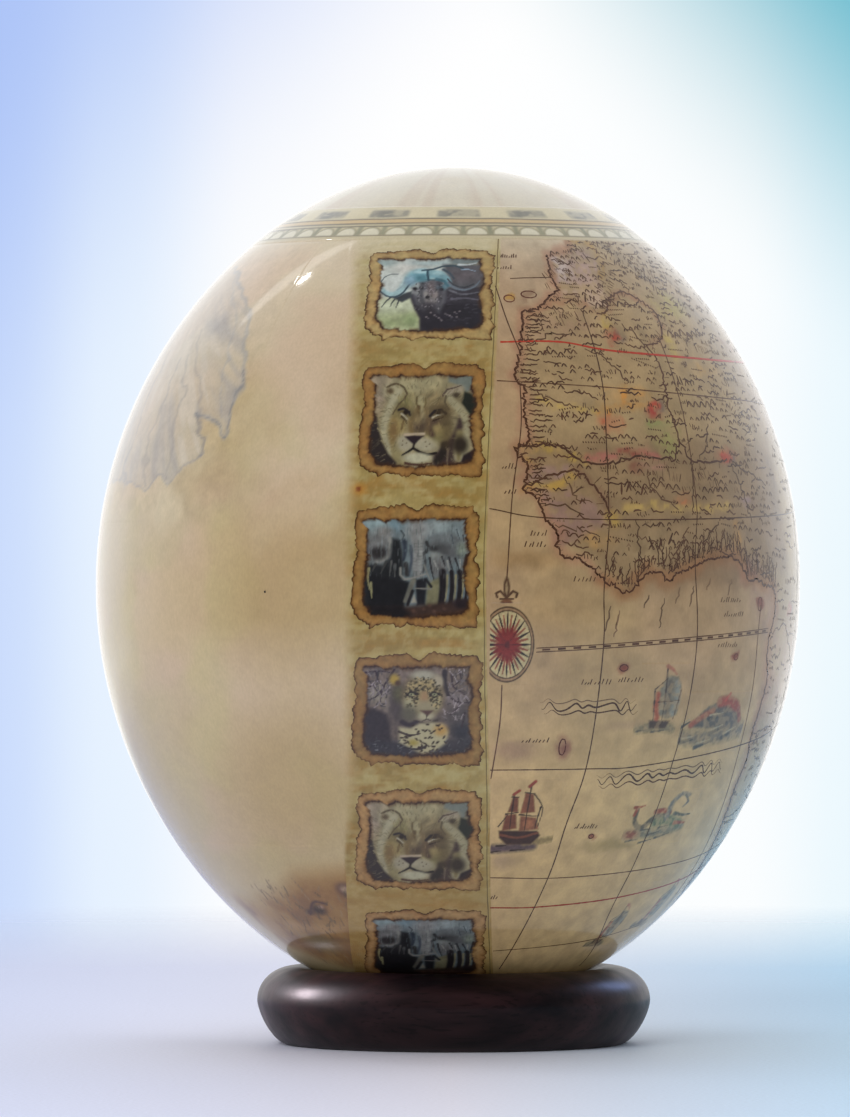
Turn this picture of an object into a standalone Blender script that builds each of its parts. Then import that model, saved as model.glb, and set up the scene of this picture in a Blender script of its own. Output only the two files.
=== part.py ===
"""A decorated ostrich egg standing on a turned ring of dark wood.

Two pieces come apart on a bench: the egg, and the ring stand that it rests in.
Metres, +Z up. The origin is on the surface that the ring stands on, under the
middle of the egg at its widest, and the decorated front faces -Y.
"""

from math import cos, pi, sin, sqrt

import bmesh
import bpy

# The egg, which stands on end.
EGG_LENGTH = 0.1564
EGG_WIDTH = 0.1309
EGG_FULLER_TOP = 0.0084  # share by which the upper half is fuller than an ellipse
EGG_LEANER_ENDS = 0.0506  # share by which both ends are leaner than an ellipse
EGG_LEAN = 0.0002  # how far the top leans towards +X
EGG_BOW = 0.00093  # how far both ends curve towards +X, away from the middle

# The ring stand, turned from one blank.
RING_OUTER_RADIUS = 0.03656
RING_WALL = 0.0134  # from the hole to the outside
RING_HEIGHT = 0.0143
RING_WIDEST_HEIGHT = 0.0081  # where the wall bulges most
RING_LOWER_ROUNDING = 1.5  # 2 is an ellipse, and less is closer to a chamfer
RING_FOOT_WIDTH = 0.0030  # the flat that it stands on
RING_OFFSET = 0.0011  # the ends of the egg curve towards +X, so the ring is there too

SEAT_GAP = 0.0003  # clearance between the egg and the ring

EGG_SEGMENTS = 64
EGG_RINGS = 40
RING_SEGMENTS = 72
ARC_POINTS = 7  # points on each quarter of the ring's section

SHELL_COLOUR = (0.66, 0.55, 0.38, 1.0)
WOOD_COLOUR = (0.035, 0.018, 0.016, 1.0)

SECTION_RADIUS = RING_OUTER_RADIUS - RING_WALL / 2  # the middle of the ring's wall


def clear_scene():
    """Removes whatever the scene starts with."""
    for thing in list(bpy.data.objects):
        bpy.data.objects.remove(thing)


def finish(name, colour, roughness, coat=0.0):
    """A material for one piece."""
    made = bpy.data.materials.new(name)
    made.use_nodes = True
    shader = made.node_tree.nodes["Principled BSDF"]
    shader.inputs["Base Color"].default_value = colour
    shader.inputs["Roughness"].default_value = roughness
    shader.inputs["Metallic"].default_value = 0.0
    shader.inputs["Coat Weight"].default_value = coat
    return made


def egg_radius(t):
    """The egg's radius at t, which runs from -1 at its foot to 1 at its top."""
    ellipse = sqrt(max(0.0, 1.0 - t * t))
    return EGG_WIDTH / 2 * ellipse * (1.0 + EGG_FULLER_TOP * t - EGG_LEANER_ENDS * t * t)


def egg_centre(t):
    """How far towards +X the middle of the egg's section at t lies."""
    return EGG_LEAN * t + EGG_BOW * t * t


def ring_section():
    """(radius, height) points round the ring's wall, down its outer side and up the hole."""
    half = RING_WALL / 2
    upper = RING_HEIGHT - RING_WIDEST_HEIGHT
    power = 2.0 / RING_LOWER_ROUNDING
    steps = [pi / 2 * i / ARC_POINTS for i in range(ARC_POINTS)]
    foot = RING_FOOT_WIDTH / 2
    outer_top = [(half * sin(a), RING_WIDEST_HEIGHT + upper * cos(a)) for a in steps]
    outer_low = [
        (
            foot + (half - foot) * cos(a) ** power,
            RING_WIDEST_HEIGHT * (1.0 - sin(a) ** power),
        )
        for a in steps
    ]
    right = outer_top + outer_low + [(foot, 0.0)]
    left = [(-x, z) for x, z in reversed(right[1:])]
    return [(SECTION_RADIUS + x, z) for x, z in right + left]


def gap_to_ring(foot_height):
    """The least clearance between the egg and the ring, with the egg's foot at that height."""
    nearest = 1.0
    for i in range(1, 200):
        t = -1.0 + 0.4 * i / 200
        height = foot_height + EGG_LENGTH / 2 * (1.0 + t)
        # The egg comes closest on the side that its middle is shifted towards.
        reach = egg_radius(t) + abs(egg_centre(t) - RING_OFFSET)
        for radius, level in ring_section():
            away = sqrt((radius - reach) ** 2 + (level - height) ** 2)
            inside = reach > radius and height < level
            nearest = min(nearest, -away if inside else away)
    return nearest


def resting_height():
    """The lowest that the egg's foot can be with SEAT_GAP left between it and the ring."""
    low, high = 0.0, RING_HEIGHT
    for _ in range(20):
        middle = (low + high) / 2
        if gap_to_ring(middle) < SEAT_GAP:
            low = middle
        else:
            high = middle
    return high


def make_egg(material):
    """The egg, from a sphere whose rings are moved onto the egg's outline."""
    shape = bmesh.new()
    bmesh.ops.create_uvsphere(
        shape, u_segments=EGG_SEGMENTS, v_segments=EGG_RINGS, radius=1.0
    )
    foot = resting_height()
    for vertex in shape.verts:
        t = max(-1.0, min(1.0, vertex.co.z))
        across = sqrt(max(0.0, 1.0 - t * t))
        scale = egg_radius(t) / across if across > 1e-6 else 0.0
        vertex.co.x = egg_centre(t) + vertex.co.x * scale
        vertex.co.y = vertex.co.y * scale
        vertex.co.z = foot + EGG_LENGTH / 2 * (1.0 + t)
    mesh = bpy.data.meshes.new("egg")
    shape.to_mesh(mesh)
    shape.free()
    mesh.shade_smooth()
    egg = bpy.data.objects.new("egg", mesh)
    egg.data.materials.append(material)
    bpy.context.scene.collection.objects.link(egg)
    return egg


def make_ring(material):
    """The ring stand, its section turned about its own upright axis."""
    section = ring_section()
    mesh = bpy.data.meshes.new("ring_stand")
    count = len(section)
    mesh.from_pydata(
        [(radius, 0.0, height) for radius, height in section],
        [(i, (i + 1) % count) for i in range(count)],
        [],
    )
    ring = bpy.data.objects.new("ring_stand", mesh)
    ring.data.materials.append(material)
    ring.location = (RING_OFFSET, 0.0, 0.0)
    turned = ring.modifiers.new("turned", "SCREW")
    turned.axis = "Z"
    turned.angle = 2 * pi
    turned.steps = RING_SEGMENTS
    turned.render_steps = RING_SEGMENTS
    turned.use_merge_vertices = True
    turned.merge_threshold = 0.00001
    turned.use_smooth_shade = True
    bpy.context.scene.collection.objects.link(ring)
    return ring


def main():
    """Builds both pieces where they stand."""
    clear_scene()
    make_ring(finish("dark_wood", WOOD_COLOUR, 0.38))
    make_egg(finish("varnished_shell", SHELL_COLOUR, 0.22, coat=0.6))


main()
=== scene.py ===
"""Looks of a decorated ostrich egg that stands in a ring of dark turned wood.

The egg is covered with glued prints under gloss varnish: a strip of animal pictures with burnt
edges down the front, an old-style map to its right, soft prints on pale parchment to its left,
and border bands round the top. Every print is a thin sheet that follows the egg's surface, and
its colours are worked out point by point by the drawing classes below.

Places on the egg are given as a turn, in degrees from the front towards +X, and a rise, in
millimetres measured along the surface from the egg's foot. Places in a picture are millimetres
to the right of its middle and above it. Paint colours are red, green and blue from 0 to 255.
"""

import logging
import math
from collections.abc import Callable, Iterable, Sequence
from dataclasses import dataclass, field
from enum import Enum
from functools import cached_property

import bpy
import numpy as np
from mathutils import Matrix, Vector

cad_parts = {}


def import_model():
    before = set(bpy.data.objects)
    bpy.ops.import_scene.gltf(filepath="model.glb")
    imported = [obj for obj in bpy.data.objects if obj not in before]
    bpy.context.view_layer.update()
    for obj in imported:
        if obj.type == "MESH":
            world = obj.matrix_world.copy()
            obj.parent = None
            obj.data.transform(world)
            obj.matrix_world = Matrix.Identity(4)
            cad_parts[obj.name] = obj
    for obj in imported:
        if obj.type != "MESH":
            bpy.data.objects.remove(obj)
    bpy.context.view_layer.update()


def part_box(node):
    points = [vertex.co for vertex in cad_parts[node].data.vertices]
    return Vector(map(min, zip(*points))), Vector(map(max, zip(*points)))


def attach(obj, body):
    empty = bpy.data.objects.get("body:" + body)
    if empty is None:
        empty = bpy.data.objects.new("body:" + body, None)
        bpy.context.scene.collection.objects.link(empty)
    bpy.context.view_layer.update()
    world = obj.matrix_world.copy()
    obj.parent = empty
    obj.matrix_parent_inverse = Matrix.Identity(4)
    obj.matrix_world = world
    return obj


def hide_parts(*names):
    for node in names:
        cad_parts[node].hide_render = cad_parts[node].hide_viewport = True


Colour = tuple[float, float, float]
Outline = Sequence[tuple[float, float]]

MM = 0.001
TUCK = 0.02 * MM  # how far a sheet's edges dip into the shell
CHART_EDGE = 0.004  # the bare margin round a piece's chart, as a share of it
BODY = "root"

log = logging.getLogger("ostrich_egg")


class Slot(Enum):
    """The record's material slots."""

    SHELL = "decorated_shell"
    WOOD = "dark_wood"


# ---------------------------------------------------------------- numbers and noise


def ease(low: float, high: float, values: np.ndarray) -> np.ndarray:
    """Smooth step from 0 to 1.

    Args:
        low: Where the step starts.
        high: Where it ends. It may be under low, for a falling step.
        values: The numbers to step.

    Returns:
        The stepped numbers.
    """
    share = np.clip((values - low) / (high - low), 0.0, 1.0)
    return share * share * (3.0 - 2.0 * share)


def lattice(whole: np.ndarray, seed: int) -> np.ndarray:
    """A fixed random number from 0 to 1 for each whole-number place.

    Args:
        whole: Whole-number places, one a row.
        seed: Picks the set of random numbers.

    Returns:
        One number a row.
    """
    mixed = np.full(len(whole), (seed * 2654435761) & 0xFFFFFFFF, np.uint64)
    for column, prime in zip(whole.T, (73856093, 19349663, 83492791), strict=False):
        mixed ^= (column.astype(np.int64) * prime).astype(np.uint64) & np.uint64(0xFFFFFFFF)
        mixed = (mixed * np.uint64(2246822519)) & np.uint64(0xFFFFFFFF)
        mixed ^= mixed >> np.uint64(15)
    mixed = (mixed * np.uint64(3266489917)) & np.uint64(0xFFFFFFFF)
    mixed ^= mixed >> np.uint64(16)
    return (mixed & np.uint64(0xFFFFF)).astype(float) / 0xFFFFF


def cloud(places: np.ndarray, size: float, seed: int, octaves: int = 3) -> np.ndarray:
    """Soft random shading.

    Args:
        places: Points in two or three dimensions, one a row.
        size: How far apart the largest blotches are.
        seed: Picks the pattern.
        octaves: How many times a finer layer at half the strength is added.

    Returns:
        One number a row, from 0 to 1 and mostly near a half.
    """
    total, weight, strength = np.zeros(len(places)), 0.0, 1.0
    for octave in range(octaves):
        scaled = places / size * 2.0**octave + 31.7 * octave
        whole = np.floor(scaled)
        part = scaled - whole
        part = part * part * (3.0 - 2.0 * part)
        value = np.zeros(len(places))
        for corner in np.ndindex(*(2,) * places.shape[1]):
            share = np.prod(np.where(corner, part, 1.0 - part), axis=1)
            value += share * lattice(whole + corner, seed + octave)
        total += strength * value
        weight += strength
        strength *= 0.5
    return total / weight


def smooth_path(points: Outline, spacing: float) -> np.ndarray:
    """A smooth curve through points.

    Args:
        points: The points to pass through, in order.
        spacing: About how far apart the curve's own points are to be.

    Returns:
        The curve's points, one a row.
    """
    given = np.asarray(points, float)
    if len(given) == 2:
        count = max(2, int(np.hypot(*(given[1] - given[0])) / spacing) + 1)
        return given[0] + np.linspace(0.0, 1.0, count)[:, None] * (given[1] - given[0])
    ends = np.vstack([2 * given[0] - given[1], given, 2 * given[-1] - given[-2]])
    pieces = []
    for a, b, c, d in zip(ends, ends[1:], ends[2:], ends[3:], strict=False):
        count = max(1, int(np.hypot(*(c - b)) / spacing))
        t = (np.arange(count) / count)[:, None]
        cubic = 3 * b - 3 * c + d - a
        square = 2 * a - 5 * b + 4 * c - d
        pieces.append(0.5 * (2 * b + (c - a) * t + square * t**2 + cubic * t**3))
    return np.vstack([*pieces, given[-1:]])


# ---------------------------------------------------------------- painting


class Canvas:
    """Paint laid over a set of points, each of which keeps one colour."""

    def __init__(self, x: np.ndarray, y: np.ndarray, ground: Colour | np.ndarray) -> None:
        """Starts with a bare ground.

        Args:
            x: How far right each point is, in millimetres.
            y: How far up each point is, in millimetres.
            ground: One colour for all, or one a row.
        """
        self.x, self.y = x, y
        self.rgb = np.empty((len(x), 3))
        self.rgb[:] = ground

    def lay(self, cover: np.ndarray, colour: Colour | np.ndarray) -> None:
        """Covers the points with a colour, each by its own share from 0 to 1."""
        self.rgb += np.clip(cover, 0.0, 1.0)[:, None] * (np.asarray(colour, float) - self.rgb)

    def shade(self, factor: np.ndarray) -> None:
        """Darkens each point where its factor is under 1, and lightens it where over 1."""
        self.rgb *= factor[:, None]

    def speckle(self, size: float, amount: float, seed: int) -> None:
        """Mottles what is painted so far.

        Args:
            size: How far apart the blotches are.
            amount: How much they darken and lighten, as a share.
            seed: Picks the pattern.
        """
        places = np.column_stack([self.x, self.y])
        self.shade(1.0 + amount * 2.0 * (cloud(places, size, seed) - 0.5))

    def oval(
        self,
        x: float,
        y: float,
        wide: float,
        tall: float,
        colour: Colour,
        soft: float = 0.4,
        turn: float = 0.0,
        strength: float = 1.0,
    ) -> None:
        """Paints an oval.

        Args:
            x: The middle's place to the right.
            y: The middle's place up.
            wide: Half the width.
            tall: Half the height.
            colour: The paint.
            soft: The share of the oval over which its edge fades.
            turn: How far it is turned to the left, in degrees.
            strength: How much of the paint covers, from 0 to 1.
        """
        a = math.radians(turn)
        u = ((self.x - x) * math.cos(a) + (self.y - y) * math.sin(a)) / wide
        v = ((self.y - y) * math.cos(a) - (self.x - x) * math.sin(a)) / tall
        self.lay(strength * ease(1.0 + soft, 1.0 - soft, np.hypot(u, v)), colour)

    def patch(self, points: Outline, colour: Colour, soft: float = 0.3, strength: float = 1.0) -> None:
        """Paints the inside of an outline.

        Args:
            points: The outline's corners.
            colour: The paint.
            soft: How many millimetres its edge fades over, on either side.
            strength: How much of the paint covers, from 0 to 1.
        """
        corners = np.asarray(points, float)
        gap = np.full(len(self.x), np.inf)
        inside = np.zeros(len(self.x), bool)
        for (x1, y1), (x2, y2) in zip(corners, np.roll(corners, -1, axis=0), strict=True):
            gap = np.minimum(gap, self.away_from(x1, y1, x2, y2)[0])
            crosses = (y1 > self.y) != (y2 > self.y)
            slope = (x2 - x1) / (y2 - y1) if y1 != y2 else 0.0
            inside ^= crosses & (self.x < x1 + slope * (self.y - y1))
        signed = np.where(inside, gap, -gap)
        self.lay(strength * ease(-soft, soft, signed), colour)

    def away_from(self, x1: float, y1: float, x2: float, y2: float) -> tuple[np.ndarray, np.ndarray]:
        """How far each point is from a straight piece.

        Args:
            x1: The piece's start, to the right.
            y1: The piece's start, up.
            x2: The piece's end, to the right.
            y2: The piece's end, up.

        Returns:
            The distances, and how far along the piece the nearest place is, from 0 to 1.
        """
        dx, dy = x2 - x1, y2 - y1
        length = dx * dx + dy * dy or 1e-9
        share = np.clip(((self.x - x1) * dx + (self.y - y1) * dy) / length, 0.0, 1.0)
        return np.hypot(self.x - x1 - share * dx, self.y - y1 - share * dy), share

    def stroke(
        self,
        points: Outline,
        width: float,
        colour: Colour,
        soft: float = 0.35,
        end: float | None = None,
        strength: float = 1.0,
    ) -> None:
        """Paints one brush stroke.

        Args:
            points: The points that it runs through.
            width: Its width at the start, in millimetres.
            colour: The paint.
            soft: The share of the width over which its edge fades.
            end: Its width at the end. It keeps its width if this is left out.
            strength: How much of the paint covers, from 0 to 1.
        """
        path = smooth_path(points, 0.8)
        widths = np.linspace(width, width if end is None else end, len(path))
        cover = np.zeros(len(self.x))
        for i, (start, stop) in enumerate(zip(path, path[1:], strict=False)):
            away, share = self.away_from(*start, *stop)
            half = 0.5 * (widths[i] + share * (widths[i + 1] - widths[i])) + 1e-6
            cover = np.maximum(cover, ease(1.0 + soft, 1.0 - soft, away / half))
        self.lay(strength * cover, colour)

    def strokes(self, runs: Iterable[Outline], width: float, colour: Colour) -> None:
        """Paints several strokes of one width, each of which thins out towards its end."""
        for run in runs:
            self.stroke(run, width, colour, 0.5, end=0.4 * width)

    def dots(
        self, places: Outline, size: float, colour: Colour, soft: float = 0.5, strength: float = 1.0
    ) -> None:
        """Paints small round spots, a little wider than they are tall."""
        for x, y in places:
            self.oval(x, y, size * 1.15, size, colour, soft, strength=strength)

    def hair(self, x: float, y: float, amount: float, seed: int) -> None:
        """Draws fine fur that grows away from a point.

        Args:
            x: The point's place to the right.
            y: The point's place up.
            amount: How much the hairs darken and lighten, as a share.
            seed: Picks the pattern.
        """
        dense, long = 5.75, 1.6  # hairs in each radian round the point, and their length in millimetres
        angle = np.arctan2(self.y - y, self.x - x)
        away = np.hypot(self.x - x, self.y - y)
        curl = 0.10 * np.sin(away * 0.8 + 2.0 * angle)
        places = np.column_stack([(angle + curl) * dense, away / long])
        self.shade(1.0 + amount * 2.0 * (cloud(places, 1.0, seed, 2) - 0.5))


# ---------------------------------------------------------------- the egg's surface


@dataclass(frozen=True)
class EggForm:
    """The egg's outside, in metres."""

    foot: float  # the height of its lowest point
    length: float
    width: float
    fuller_top: float = 0.0084  # how much fuller than an ellipse it is at its top, as a share
    leaner_ends: float = 0.0506  # how much leaner than an ellipse it is at both ends, as a share
    lean: float = 0.0002  # how far its top leans towards +X
    bow: float = 0.00093  # how far both of its ends bend towards +X
    steps: int = 4001  # how many places its surface is measured at

    @classmethod
    def of_frame(cls) -> "EggForm":
        """The form of the frame's own egg."""
        low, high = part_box("egg")
        return cls(foot=low.z, length=high.z - low.z, width=high.y - low.y)

    def along(self, height: np.ndarray) -> np.ndarray:
        """Heights as -1 at the foot to 1 at the top."""
        return np.clip((height - self.foot) / (self.length / 2) - 1.0, -1.0, 1.0)

    def radius(self, height: np.ndarray) -> np.ndarray:
        """The egg's radius at each height."""
        t = self.along(height)
        fullness = 1.0 + self.fuller_top * t - self.leaner_ends * t * t
        return self.width / 2 * np.sqrt(np.maximum(0.0, 1.0 - t * t)) * fullness

    def centre(self, height: np.ndarray) -> np.ndarray:
        """How far towards +X the egg's middle is at each height."""
        t = self.along(height)
        return self.lean * t + self.bow * t * t

    @cached_property
    def ruler(self) -> tuple[np.ndarray, np.ndarray]:
        """Heights up the egg, and the rise at each, in millimetres."""
        angles = np.linspace(-math.pi / 2, math.pi / 2, self.steps)
        height = self.foot + self.length / 2 * (1.0 + np.sin(angles))
        radius = self.radius(height)
        rise = np.concatenate([[0.0], np.cumsum(np.hypot(np.diff(height), np.diff(radius)))])
        return height, rise / MM

    def height_at(self, rise: np.ndarray) -> np.ndarray:
        """The height of each rise."""
        height, ruler = self.ruler
        return np.interp(rise, ruler, height)

    def full_rise(self) -> float:
        """The rise of the egg's top."""
        return float(self.ruler[1][-1])

    def girth(self, rise: np.ndarray) -> np.ndarray:
        """How many millimetres one degree of turn is at each rise."""
        return np.radians(self.radius(self.height_at(rise)) / MM)

    def points(self, turn: np.ndarray, rise: np.ndarray, lift: float) -> np.ndarray:
        """Points over the egg.

        Args:
            turn: Degrees from the front towards +X.
            rise: Millimetres up from the foot, along the surface.
            lift: How many metres above the shell they lie.

        Returns:
            The points in metres, one a row.
        """
        height = self.height_at(rise)
        radius = self.radius(height)
        step = 1e-5
        slope = (self.radius(height + step) - self.radius(height - step)) / (2 * step)
        slope = np.clip(slope, -60.0, 60.0)
        steep = np.sqrt(1.0 + slope * slope)
        a = np.radians(turn)
        out = radius + lift / steep
        return np.column_stack(
            [
                self.centre(height) + out * np.sin(a),
                -out * np.cos(a),
                height - lift * slope / steep,
            ]
        )


def new_mesh(
    name: str,
    places: np.ndarray,
    faces: Sequence[np.ndarray],
    paint: np.ndarray | None = None,
    chart: np.ndarray | None = None,
) -> bpy.types.Object:
    """Makes a smooth mesh.

    Args:
        name: The piece's name.
        places: Its points in metres, one a row.
        faces: One table for each kind of face, with the numbers of a face's points in a row.
        paint: The colour of each point, one a row, from 0 to 255.
        chart: Where each face's corners lie on the piece's flat chart, from 0 to 1.

    Returns:
        The object.
    """
    mesh = bpy.data.meshes.new(name)
    corners = np.concatenate([table.ravel() for table in faces]).astype(np.int32)
    sides = np.concatenate([np.full(len(table), table.shape[1]) for table in faces])
    mesh.vertices.add(len(places))
    mesh.vertices.foreach_set("co", places.astype(np.float32).ravel())
    mesh.loops.add(len(corners))
    mesh.loops.foreach_set("vertex_index", corners)
    mesh.polygons.add(len(sides))
    starts = np.concatenate([[0], np.cumsum(sides)[:-1]]).astype(np.int32)
    mesh.polygons.foreach_set("loop_start", starts)
    mesh.polygons.foreach_set("use_smooth", np.ones(len(sides), bool))
    if paint is not None:
        linear = np.clip(paint / 255.0, 0.0, 1.0)
        linear = np.where(linear <= 0.04045, linear / 12.92, ((linear + 0.055) / 1.055) ** 2.4)
        layer = mesh.attributes.new("paint", "FLOAT_COLOR", "POINT")
        rgba = np.column_stack([linear, np.ones(len(linear))]).astype(np.float32)
        layer.data.foreach_set("color", rgba.ravel())
    if chart is not None:
        layer = mesh.uv_layers.new(name="OFBake")
        layer.uv.foreach_set("vector", chart.astype(np.float32).ravel())
    mesh.update(calc_edges=True)
    mesh.validate()
    piece = bpy.data.objects.new(name, mesh)
    bpy.context.scene.collection.objects.link(piece)
    return piece


def grid_faces(rows: int, columns: int) -> np.ndarray:
    """The four-sided faces of a grid whose points are numbered row by row.

    Args:
        rows: How many rows of points there are, from low to high.
        columns: How many points a row has, from left to right.

    Returns:
        The point numbers of each face, one face a row.
    """
    first = (np.arange(rows - 1)[:, None] * columns + np.arange(columns - 1)).ravel()
    return np.column_stack([first, first + 1, first + columns + 1, first + columns])


def grid_chart(rows: int, columns: int) -> np.ndarray:
    """A chart that fills the square, for a grid numbered row by row."""
    low, high = CHART_EDGE, 1 - CHART_EDGE
    v, u = np.mgrid[low : high : rows * 1j, low : high : columns * 1j]
    return np.column_stack([u.ravel(), v.ravel()])


def finish_piece(
    piece: bpy.types.Object, material: bpy.types.Material, stands_for: str = ""
) -> None:
    """Dresses a piece and ties it to the frame.

    Args:
        piece: The piece.
        material: Its finish.
        stands_for: The frame node that it is shown in place of, if any.
    """
    piece.data.materials.clear()
    piece.data.materials.append(material)
    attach(piece, BODY)
    if stands_for:
        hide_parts(stands_for)
    triangles = sum(len(face.vertices) - 2 for face in piece.data.polygons)
    log.info("%s: %d triangles", piece.name, triangles)


# ---------------------------------------------------------------- finishes


class Nodes:
    """Short ways to build a material's nodes."""

    def __init__(self, name: str) -> None:
        """Makes a material that holds a Principled shader and its output."""
        self.material = bpy.data.materials.new(name)
        self.material.use_nodes = True
        self.tree = self.material.node_tree
        self.shader = self.tree.nodes["Principled BSDF"]

    def add(self, kind: str, **settings: object) -> bpy.types.Node:
        """Adds a node.

        Args:
            kind: The node's type.
            settings: Its properties, and its inputs' values by their names.

        Returns:
            The node.
        """
        node = self.tree.nodes.new(kind)
        for key, value in settings.items():
            label = key.replace("_", " ").title()
            if label in node.inputs:
                node.inputs[label].default_value = value
            else:
                setattr(node, key, value)
        return node

    def link(self, source: bpy.types.NodeSocket, target: bpy.types.NodeSocket) -> None:
        """Joins two sockets."""
        self.tree.links.new(source, target)

    def noise(self, scale: float, detail: float = 4.0, stretch: Vector | None = None) -> bpy.types.Node:
        """Noise over the object's own coordinates.

        Args:
            scale: How many blotches there are in a metre.
            detail: How many finer layers it has.
            stretch: How much to multiply each coordinate by first.

        Returns:
            The noise node.
        """
        places = self.add("ShaderNodeTexCoord").outputs["Object"]
        if stretch is not None:
            mapping = self.add("ShaderNodeMapping")
            mapping.inputs["Scale"].default_value = stretch
            self.link(places, mapping.inputs["Vector"])
            places = mapping.outputs["Vector"]
        noise = self.add("ShaderNodeTexNoise", scale=scale, detail=detail)
        self.link(places, noise.inputs["Vector"])
        return noise

    def range(
        self, value: bpy.types.NodeSocket, low: float, high: float, to_low: float, to_high: float
    ) -> bpy.types.NodeSocket:
        """Stretches a range of values to another one.

        Args:
            value: What to stretch.
            low: The value that becomes to_low.
            high: The value that becomes to_high.
            to_low: The result at low and under it.
            to_high: The result at high and over it.

        Returns:
            The result's socket.
        """
        node = self.add("ShaderNodeMapRange")
        for name, number in zip(
            ("From Min", "From Max", "To Min", "To Max"), (low, high, to_low, to_high), strict=True
        ):
            node.inputs[name].default_value = number
        self.link(value, node.inputs["Value"])
        return node.outputs["Result"]

    def multiply(
        self, colour: bpy.types.NodeSocket, factor: bpy.types.NodeSocket
    ) -> bpy.types.NodeSocket:
        """A colour times a number."""
        node = self.add("ShaderNodeVectorMath", operation="SCALE")
        self.link(colour, node.inputs[0])
        self.link(factor, node.inputs["Scale"])
        return node.outputs[0]

    def bump(self, height: bpy.types.NodeSocket, strength: float, distance: float) -> None:
        """Gives the shader's base surface a relief."""
        node = self.add("ShaderNodeBump", strength=strength, distance=distance)
        self.link(height, node.inputs["Height"])
        self.link(node.outputs["Normal"], self.shader.inputs["Normal"])

    def coat(self, weight: float, roughness: float) -> None:
        """Puts clear varnish over the surface."""
        self.shader.inputs["Coat Weight"].default_value = weight
        self.shader.inputs["Coat Roughness"].default_value = roughness
        self.shader.inputs["Coat IOR"].default_value = 1.5


@dataclass(frozen=True)
class VarnishedPrint:
    """Printed paper, or bare painted shell, under gloss varnish."""

    name: str
    fibre: float = 0.05  # how much the paper's fibres lighten and darken the print
    relief: float = 0.04  # millimetres of unevenness under the varnish
    roughness: float = 0.45  # the print's own, under the varnish
    varnish: float = 1.0  # how much of the print it covers
    gloss: float = 0.07  # how rough the varnish is

    def material(self) -> bpy.types.Material:
        """Builds the material, whose colours come from the mesh's paint."""
        made = Nodes(self.name)
        paint = made.add("ShaderNodeAttribute", attribute_name="paint")
        fibres = made.noise(2600.0, 3.0, Vector((1.0, 1.0, 0.45)))
        blotches = made.noise(420.0, 3.0)
        fine = made.range(fibres.outputs["Fac"], 0.3, 0.7, 1.0 - self.fibre, 1.0 + self.fibre)
        broad = made.range(
            blotches.outputs["Fac"], 0.3, 0.7, 1.0 - 0.6 * self.fibre, 1.0 + 0.6 * self.fibre
        )
        colour = made.multiply(made.multiply(paint.outputs["Color"], fine), broad)
        made.link(colour, made.shader.inputs["Base Color"])
        rough = made.range(
            blotches.outputs["Fac"], 0.25, 0.75, self.roughness - 0.06, self.roughness + 0.06
        )
        made.link(rough, made.shader.inputs["Roughness"])
        made.bump(made.noise(900.0, 2.0).outputs["Fac"], 0.35, self.relief * MM)
        made.shader.inputs["Specular IOR Level"].default_value = 0.12
        made.coat(self.varnish, self.gloss)
        return made.material


@dataclass(frozen=True)
class TurnedWood:
    """Dark stained wood with a satin varnish, its grain running across the ring."""

    name: str = "stained_wood"
    dark: tuple[float, float, float, float] = (0.0030, 0.0014, 0.0020, 1.0)
    light: tuple[float, float, float, float] = (0.020, 0.0085, 0.0095, 1.0)

    def material(self) -> bpy.types.Material:
        """Builds the material."""
        made = Nodes(self.name)
        grain = made.noise(210.0, 6.0, Vector((0.16, 1.0, 1.0)))
        pores = made.noise(1500.0, 2.0, Vector((0.10, 1.0, 1.0)))
        clouds = made.noise(45.0, 3.0)
        ramp = made.add("ShaderNodeValToRGB")
        ramp.color_ramp.elements[0].position = 0.36
        ramp.color_ramp.elements[0].color = self.dark
        ramp.color_ramp.elements[1].position = 0.68
        ramp.color_ramp.elements[1].color = self.light
        made.link(grain.outputs["Fac"], ramp.inputs["Fac"])
        worn = made.range(clouds.outputs["Fac"], 0.35, 0.7, 0.8, 1.35)
        pored = made.range(pores.outputs["Fac"], 0.34, 0.42, 0.45, 1.0)
        colour = made.multiply(made.multiply(ramp.outputs["Color"], worn), pored)
        made.link(colour, made.shader.inputs["Base Color"])
        rough = made.range(grain.outputs["Fac"], 0.3, 0.7, 0.46, 0.34)
        made.link(rough, made.shader.inputs["Roughness"])
        made.bump(pores.outputs["Fac"], 0.5, 0.04 * MM)
        made.shader.inputs["Specular IOR Level"].default_value = 0.15
        made.coat(0.10, 0.24)
        return made.material


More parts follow.
